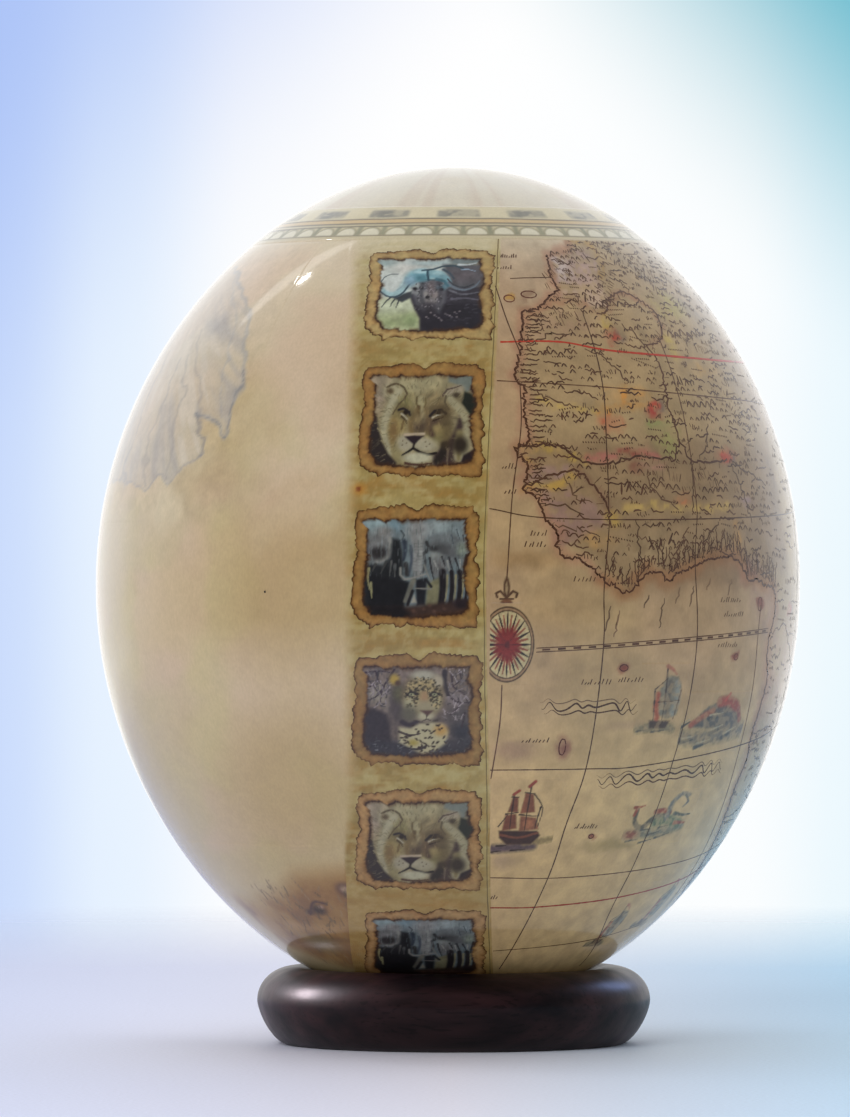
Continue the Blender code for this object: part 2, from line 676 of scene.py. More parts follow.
@dataclass(frozen=True)
class PlainFloor:
    """The pale tabletop that the stand is shown on, which fades out towards its far edge; its colour turns
    bluer towards both sides as painted blue light.
    """

    left: tuple[float, float, float, float] = (0.64, 0.71, 0.97, 1.0)
    middle: tuple[float, float, float, float] = (0.82, 0.82, 0.94, 1.0)
    right: tuple[float, float, float, float] = (0.42, 0.74, 1.0, 1.0)
    reach: float = 0.4  # metres from the middle, to either side, over which its colour changes into the painted blue light
    fade: tuple[float, float] = (0.30, 0.64)  # metres from the middle

    def material(self) -> bpy.types.Material:
        """Builds the material."""
        made = Nodes("pale_floor")
        cloth = made.noise(1400.0, 3.0)
        made.shader.inputs["Roughness"].default_value = 0.6
        place = made.add("ShaderNodeTexCoord")
        parts = made.add("ShaderNodeSeparateXYZ")
        made.link(place.outputs["Object"], parts.inputs[0])
        # painted light: the tabletop turns bluer towards both sides, as if lit blue from there
        tint = made.add("ShaderNodeValToRGB")
        tint.color_ramp.elements[0].color = tint.color_ramp.elements[1].color = self.middle
        for position, colour in ((0.375, self.left), (0.5, self.middle), (0.625, self.right)):
            tint.color_ramp.elements.new(position).color = colour
        made.link(made.range(parts.outputs["X"], -self.reach, self.reach, 0.0, 1.0), tint.inputs["Fac"])
        shade = made.range(cloth.outputs["Fac"], 0.3, 0.7, 0.95, 1.05)
        made.link(made.multiply(tint.outputs[0], shade), made.shader.inputs["Base Color"])
        made.bump(cloth.outputs["Fac"], 0.25, 0.15 * MM)
        away = made.add("ShaderNodeVectorMath", operation="LENGTH")
        made.link(place.outputs["Object"], away.inputs[0])
        solid = made.range(away.outputs["Value"], *self.fade, 1.0, 0.0)
        made.link(solid, made.shader.inputs["Alpha"])
        return made.material


# ---------------------------------------------------------------- sheets and pen lines


@dataclass
class Sheet:
    """A thin printed sheet that follows the egg, as a grid of points."""

    form: EggForm
    name: str
    turn: np.ndarray  # the turn of each point, in rows and columns
    rise: np.ndarray
    lift: float  # metres above the shell
    tucked: tuple[bool, bool] = (True, True)  # whether its level edges and its sides dip into the shell

    @classmethod
    def between(
        cls,
        form: EggForm,
        name: str,
        turns: tuple[np.ndarray | float, np.ndarray | float],
        rises: tuple[float, float],
        size: tuple[int, int],
        lift: float,
        tucked: tuple[bool, bool] = (True, True),
    ) -> "Sheet":
        """A sheet with level lower and upper edges.

        Args:
            form: The egg that it lies on.
            name: The piece's name.
            turns: The left and the right edge, each one number or one for each row.
            rises: The lower and the upper edge.
            size: How many rows and columns of points it has.
            lift: How many metres above the shell it lies.
            tucked: Whether its top and bottom, and its two sides, dip into the shell.

        Returns:
            The sheet.
        """
        rows, columns = size
        rise = np.linspace(*rises, rows)[:, None] * np.ones(columns)
        left, right = (np.broadcast_to(edge, rows)[:, None] for edge in turns)
        turn = left + (right - left) * np.linspace(0.0, 1.0, columns)
        return cls(form, name, turn, rise, lift, tucked)

    def flat(self) -> tuple[np.ndarray, np.ndarray]:
        """The turn and the rise of every point, row by row."""
        return self.turn.ravel(), self.rise.ravel()

    def make(self, paint: np.ndarray, material: bpy.types.Material) -> bpy.types.Object:
        """Builds the piece.

        Args:
            paint: The colour of each point.
            material: Its finish.

        Returns:
            The object, tied to the frame.
        """
        rows, columns = self.turn.shape
        faces = grid_faces(rows, columns)
        chart = grid_chart(rows, columns)[faces.ravel()]
        lift = np.full(self.turn.shape, self.lift)
        if self.tucked[0]:
            lift[[0, -1]] = -TUCK
        if self.tucked[1]:
            lift[:, [0, -1]] = -TUCK
        places = self.form.points(*self.flat(), lift.ravel())
        piece = new_mesh(self.name, places, [faces], paint, chart)
        finish_piece(piece, material)
        return piece


@dataclass
class Pen:
    """Fine lines drawn on the egg, each as a ribbon that follows its surface."""

    form: EggForm
    name: str
    lift: float
    seed: int = 1
    turns: list[np.ndarray] = field(default_factory=list)
    rises: list[np.ndarray] = field(default_factory=list)
    paints: list[np.ndarray] = field(default_factory=list)

    def __post_init__(self) -> None:
        """Starts the pen's own run of random numbers."""
        self.chance = np.random.default_rng(self.seed)

    def line(
        self,
        points: Outline,
        width: float,
        colour: Colour,
        ends: float = 0.35,
        spacing: float = 0.7,
        waver: float = 0.0,
    ) -> None:
        """Draws a line.

        Args:
            points: The turns and rises that it runs through.
            width: Its width in millimetres.
            colour: The ink.
            ends: The share of the width that is left at its two ends.
            spacing: How far apart its own points are, in millimetres.
            waver: How far it strays from its course, in millimetres.
        """
        path = smooth_path(points, spacing)
        if waver and len(path) > 2:
            path[1:-1] += self.chance.normal(0.0, waver, (len(path) - 2, 2))
        if len(path) < 2:
            return
        girth = self.form.girth(path[:, 1])
        ahead = np.gradient(path, axis=0)
        ahead[:, 0] *= girth
        ahead /= np.maximum(np.hypot(*ahead.T), 1e-9)[:, None]
        share = np.linspace(0.0, 1.0, len(path))
        taper = ends + (1.0 - ends) * np.minimum(1.0, 4.0 * np.minimum(share, 1.0 - share))
        half = 0.5 * width * taper * self.chance.uniform(0.8, 1.2, len(path))
        sides = np.array([-1.0, 1.0])
        turn = path[:, :1] + sides * (-ahead[:, 1] * half / girth)[:, None]
        rise = path[:, 1:] + sides * (ahead[:, 0] * half)[:, None]
        tone = self.chance.uniform(0.88, 1.12)
        self.turns.append(turn)
        self.rises.append(rise)
        self.paints.append(np.tile(np.asarray(colour, float) * tone, (2 * len(path), 1)))

    def make(self, material: bpy.types.Material) -> bpy.types.Object:
        """Builds the piece that holds every line drawn so far.

        Args:
            material: Its finish.

        Returns:
            The object, tied to the frame.
        """
        tables, start = [], 0
        for turn in self.turns:
            tables.append(start + grid_faces(len(turn), 2))
            start += turn.size
        turn = np.concatenate([part.ravel() for part in self.turns])
        rise = np.concatenate([part.ravel() for part in self.rises])
        spots = np.column_stack([turn, rise])
        low, high = spots.min(0), spots.max(0)
        faces = np.concatenate(tables)
        chart = (CHART_EDGE + (1 - 2 * CHART_EDGE) * (spots - low) / (high - low))[faces.ravel()]
        places = self.form.points(turn, rise, self.lift)
        piece = new_mesh(self.name, places, [faces], np.concatenate(self.paints), chart)
        finish_piece(piece, material)
        return piece


# ---------------------------------------------------------------- the shell and its papers


TOASTED = (  # where the front parchment is browner: millimetres across, height, reach, strength
    (-27, 84, 22, 0.55),
    (-40, 116, 16, 0.40),
    (-28, 50, 20, 0.60),
)


@dataclass(frozen=True)
class Grounds:
    """The plain colours under every print: parchment, the strip, the map's paper and the cap."""

    form: EggForm
    cap_rise: float = 193.8  # where the border bands end and the bare cap begins
    map_right: float = 152.0  # the turn at which the map's paper ends, round the back
    strip_left: float = -18.4  # millimetres across from the front line

    def strip_right(self, rise: np.ndarray) -> np.ndarray:
        """How many millimetres across from the front line the strip's right edge is."""
        rises = (29.0, 55.0, 73.0, 92.0, 117.0, 137.0, 161.0, 184.0)
        return np.interp(rise, rises, (7.7, 7.2, 7.3, 7.0, 6.7, 7.4, 8.3, 8.9))

    def parchment(self, places: np.ndarray) -> np.ndarray:
        """Mottled cream parchment.

        Args:
            places: Points on the egg, in millimetres.

        Returns:
            One colour a row.
        """
        canvas = Canvas(places[:, 0], places[:, 2], (194, 178, 148))
        canvas.lay(0.75 * ease(0.42, 0.68, cloud(places, 44.0, 11)), (176, 154, 114))
        canvas.lay(0.45 * ease(0.44, 0.68, cloud(places, 30.0, 12)), (194, 166, 140))
        canvas.lay(0.3 * ease(0.50, 0.72, cloud(places, 17.0, 13, 4)), (164, 142, 104))
        canvas.lay(0.4 * ease(0.52, 0.70, cloud(places, 12.0, 14, 4)), (208, 196, 166))
        canvas.lay(0.35 * ease(0.50, 0.66, cloud(places, 7.0, 15, 3)), (186, 172, 132))
        canvas.lay(0.6 * ease(92.0, 50.0, places[:, 2]), (182, 163, 118))
        canvas.lay(0.4 * ease(0.48, 0.64, cloud(places, 22.0, 16)), (192, 176, 124))
        canvas.lay(0.45 * ease(110.0, 145.0, places[:, 2]), (210, 194, 174))
        canvas.lay(0.35 * ease(0.50, 0.62, cloud(places, 20.0, 17)), (200, 170, 148))
        front = ease(0.0, -20.0, places[:, 1])
        for x, z, reach, strength in TOASTED:
            near = ease(reach, 0.25 * reach, np.hypot(places[:, 0] - x, places[:, 2] - z))
            canvas.lay(strength * near * front, (168, 144, 96))
        return canvas.rgb

    def strip_paper(self, across: np.ndarray, rise: np.ndarray) -> np.ndarray:
        """The ochre parchment that the pictures are stuck to, with painted light that lifts its lower part.

        Args:
            across: Millimetres across from the front line.
            rise: Millimetres up the egg.

        Returns:
            One colour a row.
        """
        canvas = Canvas(across, rise, (145, 118, 64))
        calm = 1.0 - 0.7 * ease(152.0, 172.0, rise)
        canvas.lay(ease(150.0, 186.0, rise), (188, 176, 140))
        streaks = cloud(np.column_stack([across / 9.0, rise / 1.6]), 1.0, 21, 4)
        blots = cloud(np.column_stack([across / 5.0, rise / 3.4]), 1.0, 22, 4)
        grain = cloud(np.column_stack([across, rise]), 1.1, 23, 3)
        canvas.lay(0.6 * calm * ease(0.54, 0.66, streaks), (150, 112, 54))
        canvas.lay(0.7 * ease(0.50, 0.38, streaks), (164, 147, 92))
        canvas.lay(0.45 * calm * ease(0.50, 0.70, blots), (134, 116, 66))
        canvas.lay(0.55 * ease(0.48, 0.32, blots), (164, 150, 100))
        canvas.lay(0.28 * ease(0.50, 0.66, grain), (124, 106, 60))
        canvas.lay(0.28 * ease(0.50, 0.34, grain), (178, 168, 124))
        # painted light: lighter and redder towards the foot, where the lamps leave the strip in shade
        canvas.lay(0.5 * ease(62.0, 44.0, rise), (176, 138, 84))
        canvas.lay(0.55 * ease(176.0, 186.0, rise), (190, 180, 144))
        canvas.oval(-16.5, 130, 1.3, 1.1, (164, 116, 46), 0.8)
        canvas.oval(-16.4, 130.1, 0.5, 0.4, (112, 50, 20), 0.5)
        return canvas.rgb

    def map_paper(self, places: np.ndarray) -> np.ndarray:
        """The map's pinkish-tan paper.

        Args:
            places: Points on the egg, in millimetres.

        Returns:
            One colour a row.
        """
        canvas = Canvas(places[:, 0], places[:, 2], (167, 140, 101))
        canvas.lay(0.8 * ease(118.0, 150.0, places[:, 2]), (182, 164, 142))
        canvas.lay(0.5 * ease(0.46, 0.66, cloud(places, 26.0, 31)), (166, 136, 106))
        canvas.lay(0.3 * ease(0.48, 0.68, cloud(places, 13.0, 32)), (176, 150, 110))
        canvas.lay(0.2 * ease(0.52, 0.68, cloud(places, 6.0, 33)), (144, 116, 82))
        canvas.lay(0.62 * ease(72.0, 40.0, places[:, 2]), (206, 174, 122))
        return canvas.rgb

    def cap(self, places: np.ndarray, turn: np.ndarray) -> np.ndarray:
        """The pale cap, with faint pinkish rays that run down from the top.

        Args:
            places: Points on the egg, in millimetres.
            turn: Each point's turn.

        Returns:
            One colour a row.
        """
        round_top = np.column_stack([np.cos(np.radians(turn)), np.sin(np.radians(turn))])
        rays = cloud(np.column_stack([round_top * 7.0, places[:, 2] / 60.0]), 1.0, 41, 3)
        canvas = Canvas(places[:, 0], places[:, 2], (206, 198, 178))
        canvas.lay(0.85 * ease(0.44, 0.62, rays), (198, 184, 164))
        canvas.lay(0.5 * ease(0.5, 0.66, cloud(places, 9.0, 42)), (198, 184, 154))
        return canvas.rgb

    def paint(self, turn: np.ndarray, rise: np.ndarray) -> np.ndarray:
        """The ground at any place on the egg.

        Args:
            turn: The places' turns, from -180 to 180.
            rise: The places' rises.

        Returns:
            One colour a row.
        """
        places = self.form.points(turn, rise, 0.0) / MM
        across = turn * self.form.girth(rise)
        waver = 0.5 * (cloud(places, 7.0, 51) - 0.5)
        canvas = Canvas(across, rise, self.parchment(places))
        on_map = ease(-0.1, 0.1, across - self.strip_right(rise))
        on_map *= ease(4.0, -4.0, turn - self.map_right + 4.0 + 14.0 * waver)
        canvas.lay(on_map, self.map_paper(places))
        on_strip = ease(-1.4, -0.9 + 3.5 * ease(58.0, 76.0, rise), across - self.strip_left + 1.6 * waver)
        on_strip *= ease(0.1, -0.1, across - self.strip_right(rise))
        canvas.lay(on_strip, self.strip_paper(across, rise))
        canvas.lay(0.55 * ease(176.0, 186.0, rise), (204, 194, 168))
        canvas.lay(ease(self.cap_rise - 9.0, self.cap_rise, rise), self.cap(places, turn))
        return canvas.rgb


@dataclass(frozen=True)
class Shell:
    """The whole egg, with its ground colours."""

    form: EggForm
    grounds: Grounds
    rows: int = 236
    columns: int = 320

    def build(self, material: bpy.types.Material) -> bpy.types.Object:
        """Builds the shell from rings of points and a point at each end.

        Args:
            material: Its finish.

        Returns:
            The object, tied to the frame.
        """
        full = self.form.full_rise()
        rise = np.linspace(0.0, full, self.rows + 2)[1:-1, None] * np.ones(self.columns)
        turn = np.linspace(-180.0, 180.0, self.columns + 1)[:-1] * np.ones((self.rows, 1))
        turn = np.append(turn.ravel(), [0.0, 0.0])
        rise = np.append(rise.ravel(), [0.0, full])
        ahead = (np.arange(self.columns) + 1) % self.columns
        here = np.arange(self.columns)
        step = np.arange(self.rows - 1)[:, None] * self.columns
        corners = (here, ahead, ahead + self.columns, here + self.columns)
        quads = np.stack([(step + corner).ravel() for corner in corners], axis=1)
        foot, top = len(turn) - 2, len(turn) - 1
        last = (self.rows - 1) * self.columns
        low = np.column_stack([np.full(self.columns, foot), ahead, here])
        high = np.column_stack([np.full(self.columns, top), last + here, last + ahead])
        faces = [quads, np.vstack([low, high])]
        paint = self.grounds.paint(turn, rise)
        spots = self.form.points(turn, rise, 0.0)
        piece = new_mesh("shell", spots, faces, paint, self.chart(faces, turn, rise / full))
        finish_piece(piece, material, stands_for="egg")
        return piece

    def chart(self, faces: Sequence[np.ndarray], turn: np.ndarray, up: np.ndarray) -> np.ndarray:
        """A chart of the egg, opened along its back.

        Args:
            faces: The shell's tables of faces.
            turn: Each point's turn.
            up: How far up the egg each point is, from 0 to 1.

        Returns:
            The place of each face's corners.
        """
        parts = []
        for table in faces:
            u = turn[table] / 360.0 + 0.5
            over = (u < 0.25) & (u.max(axis=1, keepdims=True) > 0.75)
            u = np.where(over, u + 1.0, u)
            if table.shape[1] == 3:
                u[:, 0] = u[:, 1:].mean(axis=1)
            parts.append(np.column_stack([u.ravel(), up[table].ravel()]))
        return CHART_EDGE + (1 - 2 * CHART_EDGE) * np.concatenate(parts)


# ---------------------------------------------------------------- the animal pictures


class Animal(Enum):
    """What a picture on the strip shows."""

    BUFFALO = "buffalo"
    LION = "lion"
    ELEPHANT = "elephant"
    LEOPARD = "leopard"


@dataclass(frozen=True)
class TornEdge:
    """A torn outline round a picture's middle, read by the angle that each part is seen at."""

    points: Outline
    ragged: float  # millimetres that it strays from its course
    seed: int

    def reach(self, angle: np.ndarray) -> np.ndarray:
        """How far the outline is from the middle.

        Args:
            angle: Directions in radians.

        Returns:
            The distances in millimetres.
        """
        corners = np.asarray(self.points, float)
        corners = np.vstack([corners, corners[:1]])
        parts = []
        for start, stop in zip(corners, corners[1:], strict=False):
            share = np.linspace(0.0, 1.0, 9)[:-1, None]
            parts.append(start + share * (stop - start))
        fine = np.vstack(parts)
        seen = np.arctan2(fine[:, 1], fine[:, 0])
        order = np.argsort(seen)
        seen, away = seen[order], np.hypot(*fine[order].T)
        base = np.interp(angle, seen, away, period=2 * math.pi)
        ring = np.column_stack([np.cos(angle), np.sin(angle)]) * base[:, None]
        broad, fine = cloud(ring, 1.3, self.seed, 2) - 0.5, cloud(ring, 0.42, self.seed + 50, 2) - 0.5
        return base + self.ragged * (1.5 * broad + 2.6 * fine)


# the edges of every picture, in millimetres from its middle
OUTER_EDGE = (
    (-11.5, 9.3), (-10.8, 10.2), (-7.9, 10.4), (-4.2, 10.9), (-2.1, 11.2), (-0.8, 10.6), (0.5, 9.9),
    (1.5, 10.8), (3.3, 11.4), (6.6, 10.9), (10.7, 10.8), (11.1, 9.9), (11.9, 9.2), (11.8, 5.3),
    (11.3, 4.2), (11.6, 2.4), (11.2, 1), (11.8, -0.8), (11.6, -2.2), (12.1, -3.1), (11.4, -4),
    (11.3, -6.4), (12.1, -8), (11.5, -8.9), (11.4, -11), (8, -11.1), (6.6, -10.5),
    (4.1, -11), (1.8, -10.8), (-1.7, -10.5), (-3.1, -11.2), (-4.4, -10.3), (-7.6, -10.5),
    (-8.6, -11.2), (-9, -10.3), (-10.6, -9.8), (-12, -8.6), (-12.4, -6.8), (-12.1, -2),
    (-11.8, 1), (-11.1, 2.8), (-11.6, 4), (-11.3, 5.1), (-11.8, 6.9), (-11.5, 8.5),
)
INNER_EDGE = (
    (-10.1, 7.7), (-9.7, 8.5), (-7.2, 8.6), (-6, 8), (-4.2, 8.6), (-2.6, 8.2), (1.6, 8.4),
    (3.1, 8.7), (4.8, 8.4), (9.3, 8.4), (9.2, 5.9), (10.2, 2.7), (9.1, 0.3), (9.2, -2.9),
    (9.8, -5.8), (9.6, -7.5), (8.5, -8.4), (5.5, -8.6), (2, -8.9), (-1.5, -9.1), (-8.6, -8.6),
    (-10.1, -6.1), (-9.9, -2.9), (-9.1, 2), (-9.3, 4.5), (-9.1, 6.8),
)


def paint_buffalo(art: Canvas) -> None:
    """A buffalo's head, from the front, its wide horns against a pale sky."""
    art.patch([(-11, 9), (4, 9), (4, -2), (-11, -2)], (176, 182, 176), 0.8)
    art.oval(-7.5, 7.6, 4, 1, (140, 156, 154), 0.7, 4)
    art.oval(-4, 6.4, 2.6, 2, (190, 190, 184), 0.8)
    art.oval(0, 7.4, 4, 0.8, (160, 176, 176), 0.8)
    art.patch([(-11, -1.5), (-3, -1), (-1.5, -9), (-11, -9)], (178, 184, 158), 0.8)
    art.patch([(-11, -5), (-2.4, -4.6), (-1.5, -9), (-11, -9)], (152, 160, 122), 1.4)
    art.oval(-3.6, -6.6, 1.6, 1.3, (134, 148, 106), 0.9)
    art.oval(-7.5, -7.2, 2, 0.7, (138, 148, 108), 0.9)
    # the dark bush behind it on the right
    art.patch([(2.4, 6.9), (10.5, 7.2), (10.5, -3), (2, -2), (3.4, 3)], (78, 78, 82), 0.6)
    art.patch([(3, 9), (10.5, 9), (10.5, 7.2), (4, 6.8)], (112, 124, 124), 0.6)
    art.oval(6.2, 4, 3.2, 1.5, (88, 82, 86), 0.9)
    art.strokes([[(5.2, 6.9), (7, 6.9), (8.6, 7.4)]], 0.55, (170, 178, 180))
    art.strokes([[(5.8, 5.6), (6.9, 5.7), (8.3, 5.2)]], 0.35, (128, 146, 164))
    # shoulders and chest
    body = [(-3.9, -0.8), (-1, 1), (4, 0.8), (9.6, 1.2), (10.4, -6), (8.8, -9.4), (-1.7, -9.4)]
    art.patch([*body, (-1.8, -6.2), (-2.8, -4.2)], (50, 47, 54), 0.35)
    art.patch([(-1.6, -2.8), (10.2, -2.4), (10.2, -9.4), (-1.7, -9.4)], (36, 33, 40), 0.8)
    art.strokes([[(3.6, 0.4), (6, -0.6), (9.2, 0)]], 0.5, (92, 92, 100))
    art.strokes([[(4, -1.7), (6.5, -1.5), (8.9, -1.9)]], 0.6, (84, 82, 92))
    # the face
    face = [(-3.6, 2.4), (-1.5, 3), (2.2, 2.9), (3.2, 1.8), (2.8, -2.5), (1.8, -5), (-1.2, -4.6)]
    art.patch([*face, (-2.7, -2.8)], (82, 82, 88), 0.5)
    art.oval(-2.6, 1.6, 1, 0.8, (142, 150, 150), 0.5, -20)
    art.oval(-2.3, -0.1, 0.8, 0.7, (120, 122, 124), 0.6)
    art.oval(-0.6, -0.8, 0.9, 1.1, (130, 126, 124), 0.6)
    art.oval(1, -0.9, 1, 1.2, (124, 116, 114), 0.6)
    art.oval(0.2, 1, 0.7, 1.7, (96, 88, 90), 0.6)
    art.oval(0, -2.2, 1.7, 0.8, (112, 108, 108), 0.7)
    art.oval(2.3, 1.2, 0.9, 0.7, (92, 122, 134), 0.6)
    art.dots([(-0.5, -1.3), (-1.6, 1), (2.1, 0.6), (-2.8, 0.8)], 0.36, (26, 24, 28))
    art.stroke([(-1.5, 2.2), (-1.7, 0.2), (-1.2, -2.6)], 0.7, (56, 57, 62), 0.9, strength=0.7)
    art.stroke([(1.6, 2.4), (1.9, 0.6), (1.7, -2.4)], 0.8, (54, 53, 60), 0.9, strength=0.7)
    art.oval(-0.2, -3.4, 1.5, 0.8, (58, 54, 60), 0.8)
    art.oval(0.1, -4.6, 1.2, 0.7, (44, 40, 46), 0.8)
    chest = [(0.9, -5.5), (1.7, -6.1), (-0.6, -5.9), (2.9, -5.1), (3.7, -5.6), (4.6, -4.8)]
    art.dots([*chest, (5.5, -4.6), (5, -5.9), (0.2, -4.9), (2.2, -6.7)], 0.17, (118, 110, 114), 0.8)
    art.dots([(x + 0.35, y - 0.3) for x, y in chest], 0.14, (96, 90, 96), 0.8)
    # the ears hang under the horns
    art.patch([(-7.6, -1), (-5.2, -0.4), (-3.4, 0.2), (-3.3, -1.2), (-5.2, -2.5)], (52, 56, 60))
    left_ear = [[(-7.2, -1.2), (-8.2, -2.2), (-9, -3.6)], [(-6.6, -1.8), (-7.2, -2.8), (-7.4, -3.6)]]
    art.strokes([*left_ear, [(-5.8, -2), (-6, -2.8), (-6.3, -3.7)]], 0.32, (56, 60, 62))
    # the horns and the boss between them
    art.patch(
        [(-8.9, 2.6), (-8.8, 0.6), (-6.8, -0.6), (-4.9, 0.9), (-4.2, 3.4), (-6.4, 4.6)], (182, 188, 184),
        0.5,
    )
    horn = [(-9.2, 2), (-8.6, 0.1), (-6.7, -0.6), (-5.2, 0.6), (-4.1, 2.4), (-2.6, 3.9)]
    art.stroke([*horn, (-1.2, 4.4)], 0.5, (148, 176, 180), 0.6, end=2.6)
    shadow = [(-9.5, 0.4), (-8.2, -0.9), (-6.5, -1.2), (-4.9, 0), (-3.9, 1.8), (-2.6, 2.9)]
    art.stroke([*shadow, (-0.2, 3), (2.6, 2.8)], 0.34, (50, 66, 76), 0.6)
    art.stroke([(-9.2, 2.6), (-8.6, 3.7), (-7.2, 4.5), (-6, 4.5)], 0.26, (76, 86, 90), 0.6, end=0.12)
    art.stroke([(-4.5, 3.6), (-4.9, 1.8), (-6.2, 0.4)], 0.5, (140, 158, 164), 0.8, end=0.2)
    art.oval(-2.2, 4.1, 2.2, 1.5, (104, 148, 160), 0.6, 14)
    art.oval(-3.6, 2.8, 1, 1.2, (120, 150, 166), 0.7, -30)
    art.oval(-1.6, 3.4, 1.2, 0.8, (70, 112, 124), 0.8)
    art.stroke([(0.3, 4.4), (1.8, 4.2), (2.9, 3.2), (3.7, 1.8)], 2.2, (112, 152, 162), 0.5, end=0.9)
    art.stroke([(1.2, 3.2), (2.6, 2.6), (3.3, 1.6)], 0.7, (60, 96, 108), 0.8)
    art.stroke(
        [(3.5, 2.3), (4.6, 0.9), (6.4, 0.5), (8.2, 1.3), (9.2, 2.8)], 0.7, (96, 106, 116), 0.7, end=0.25,
    )
    art.stroke([(3.2, 3.2), (4.3, 1.7), (6.3, 1.1), (8, 1.9)], 0.3, (50, 52, 58), 0.5)
    art.oval(1.4, 4.7, 1.2, 0.5, (152, 184, 190), 0.8)
    art.oval(-1.9, 5, 1.3, 0.4, (156, 186, 192), 0.8)
    art.stroke([(-0.5, 5.4), (-0.5, 4.2), (-0.3, 2.9)], 0.42, (38, 62, 74), 0.6)
    art.stroke([(-1.5, 5.4), (0.6, 5.7), (2.2, 6.4), (4.6, 6.6), (6, 5.9)], 0.4, (48, 66, 76), 0.6)
    art.stroke([(2.4, 5.6), (3.6, 4.6), (4.4, 3.2)], 0.6, (58, 70, 80), 0.7, end=0.3)
    chance = np.random.default_rng(62)
    for _ in range(90):
        x, y = chance.uniform(-2.8, 2.4), chance.uniform(-4.6, 2.4)
        tone = chance.choice([34.0, 52.0, 128.0, 148.0])
        stop = (x + chance.uniform(-0.4, 0.4), y + chance.uniform(-0.5, 0.2))
        art.stroke([(x, y), stop], 0.2, (tone, tone * 0.97, tone), 0.7, end=0.1, strength=0.7)
    for _ in range(60):
        x, y = chance.uniform(2.8, 9.2), chance.uniform(-7.4, 0.4)
        stop = (x + chance.uniform(0.3, 1.1), y + chance.uniform(-0.2, 0.3))
        tone = chance.uniform(24.0, 78.0)
        art.stroke([(x, y), stop], 0.24, (tone, tone * 0.97, tone * 1.08), 0.7, end=0.1, strength=0.6)
    art.speckle(1.1, 0.16, 61)


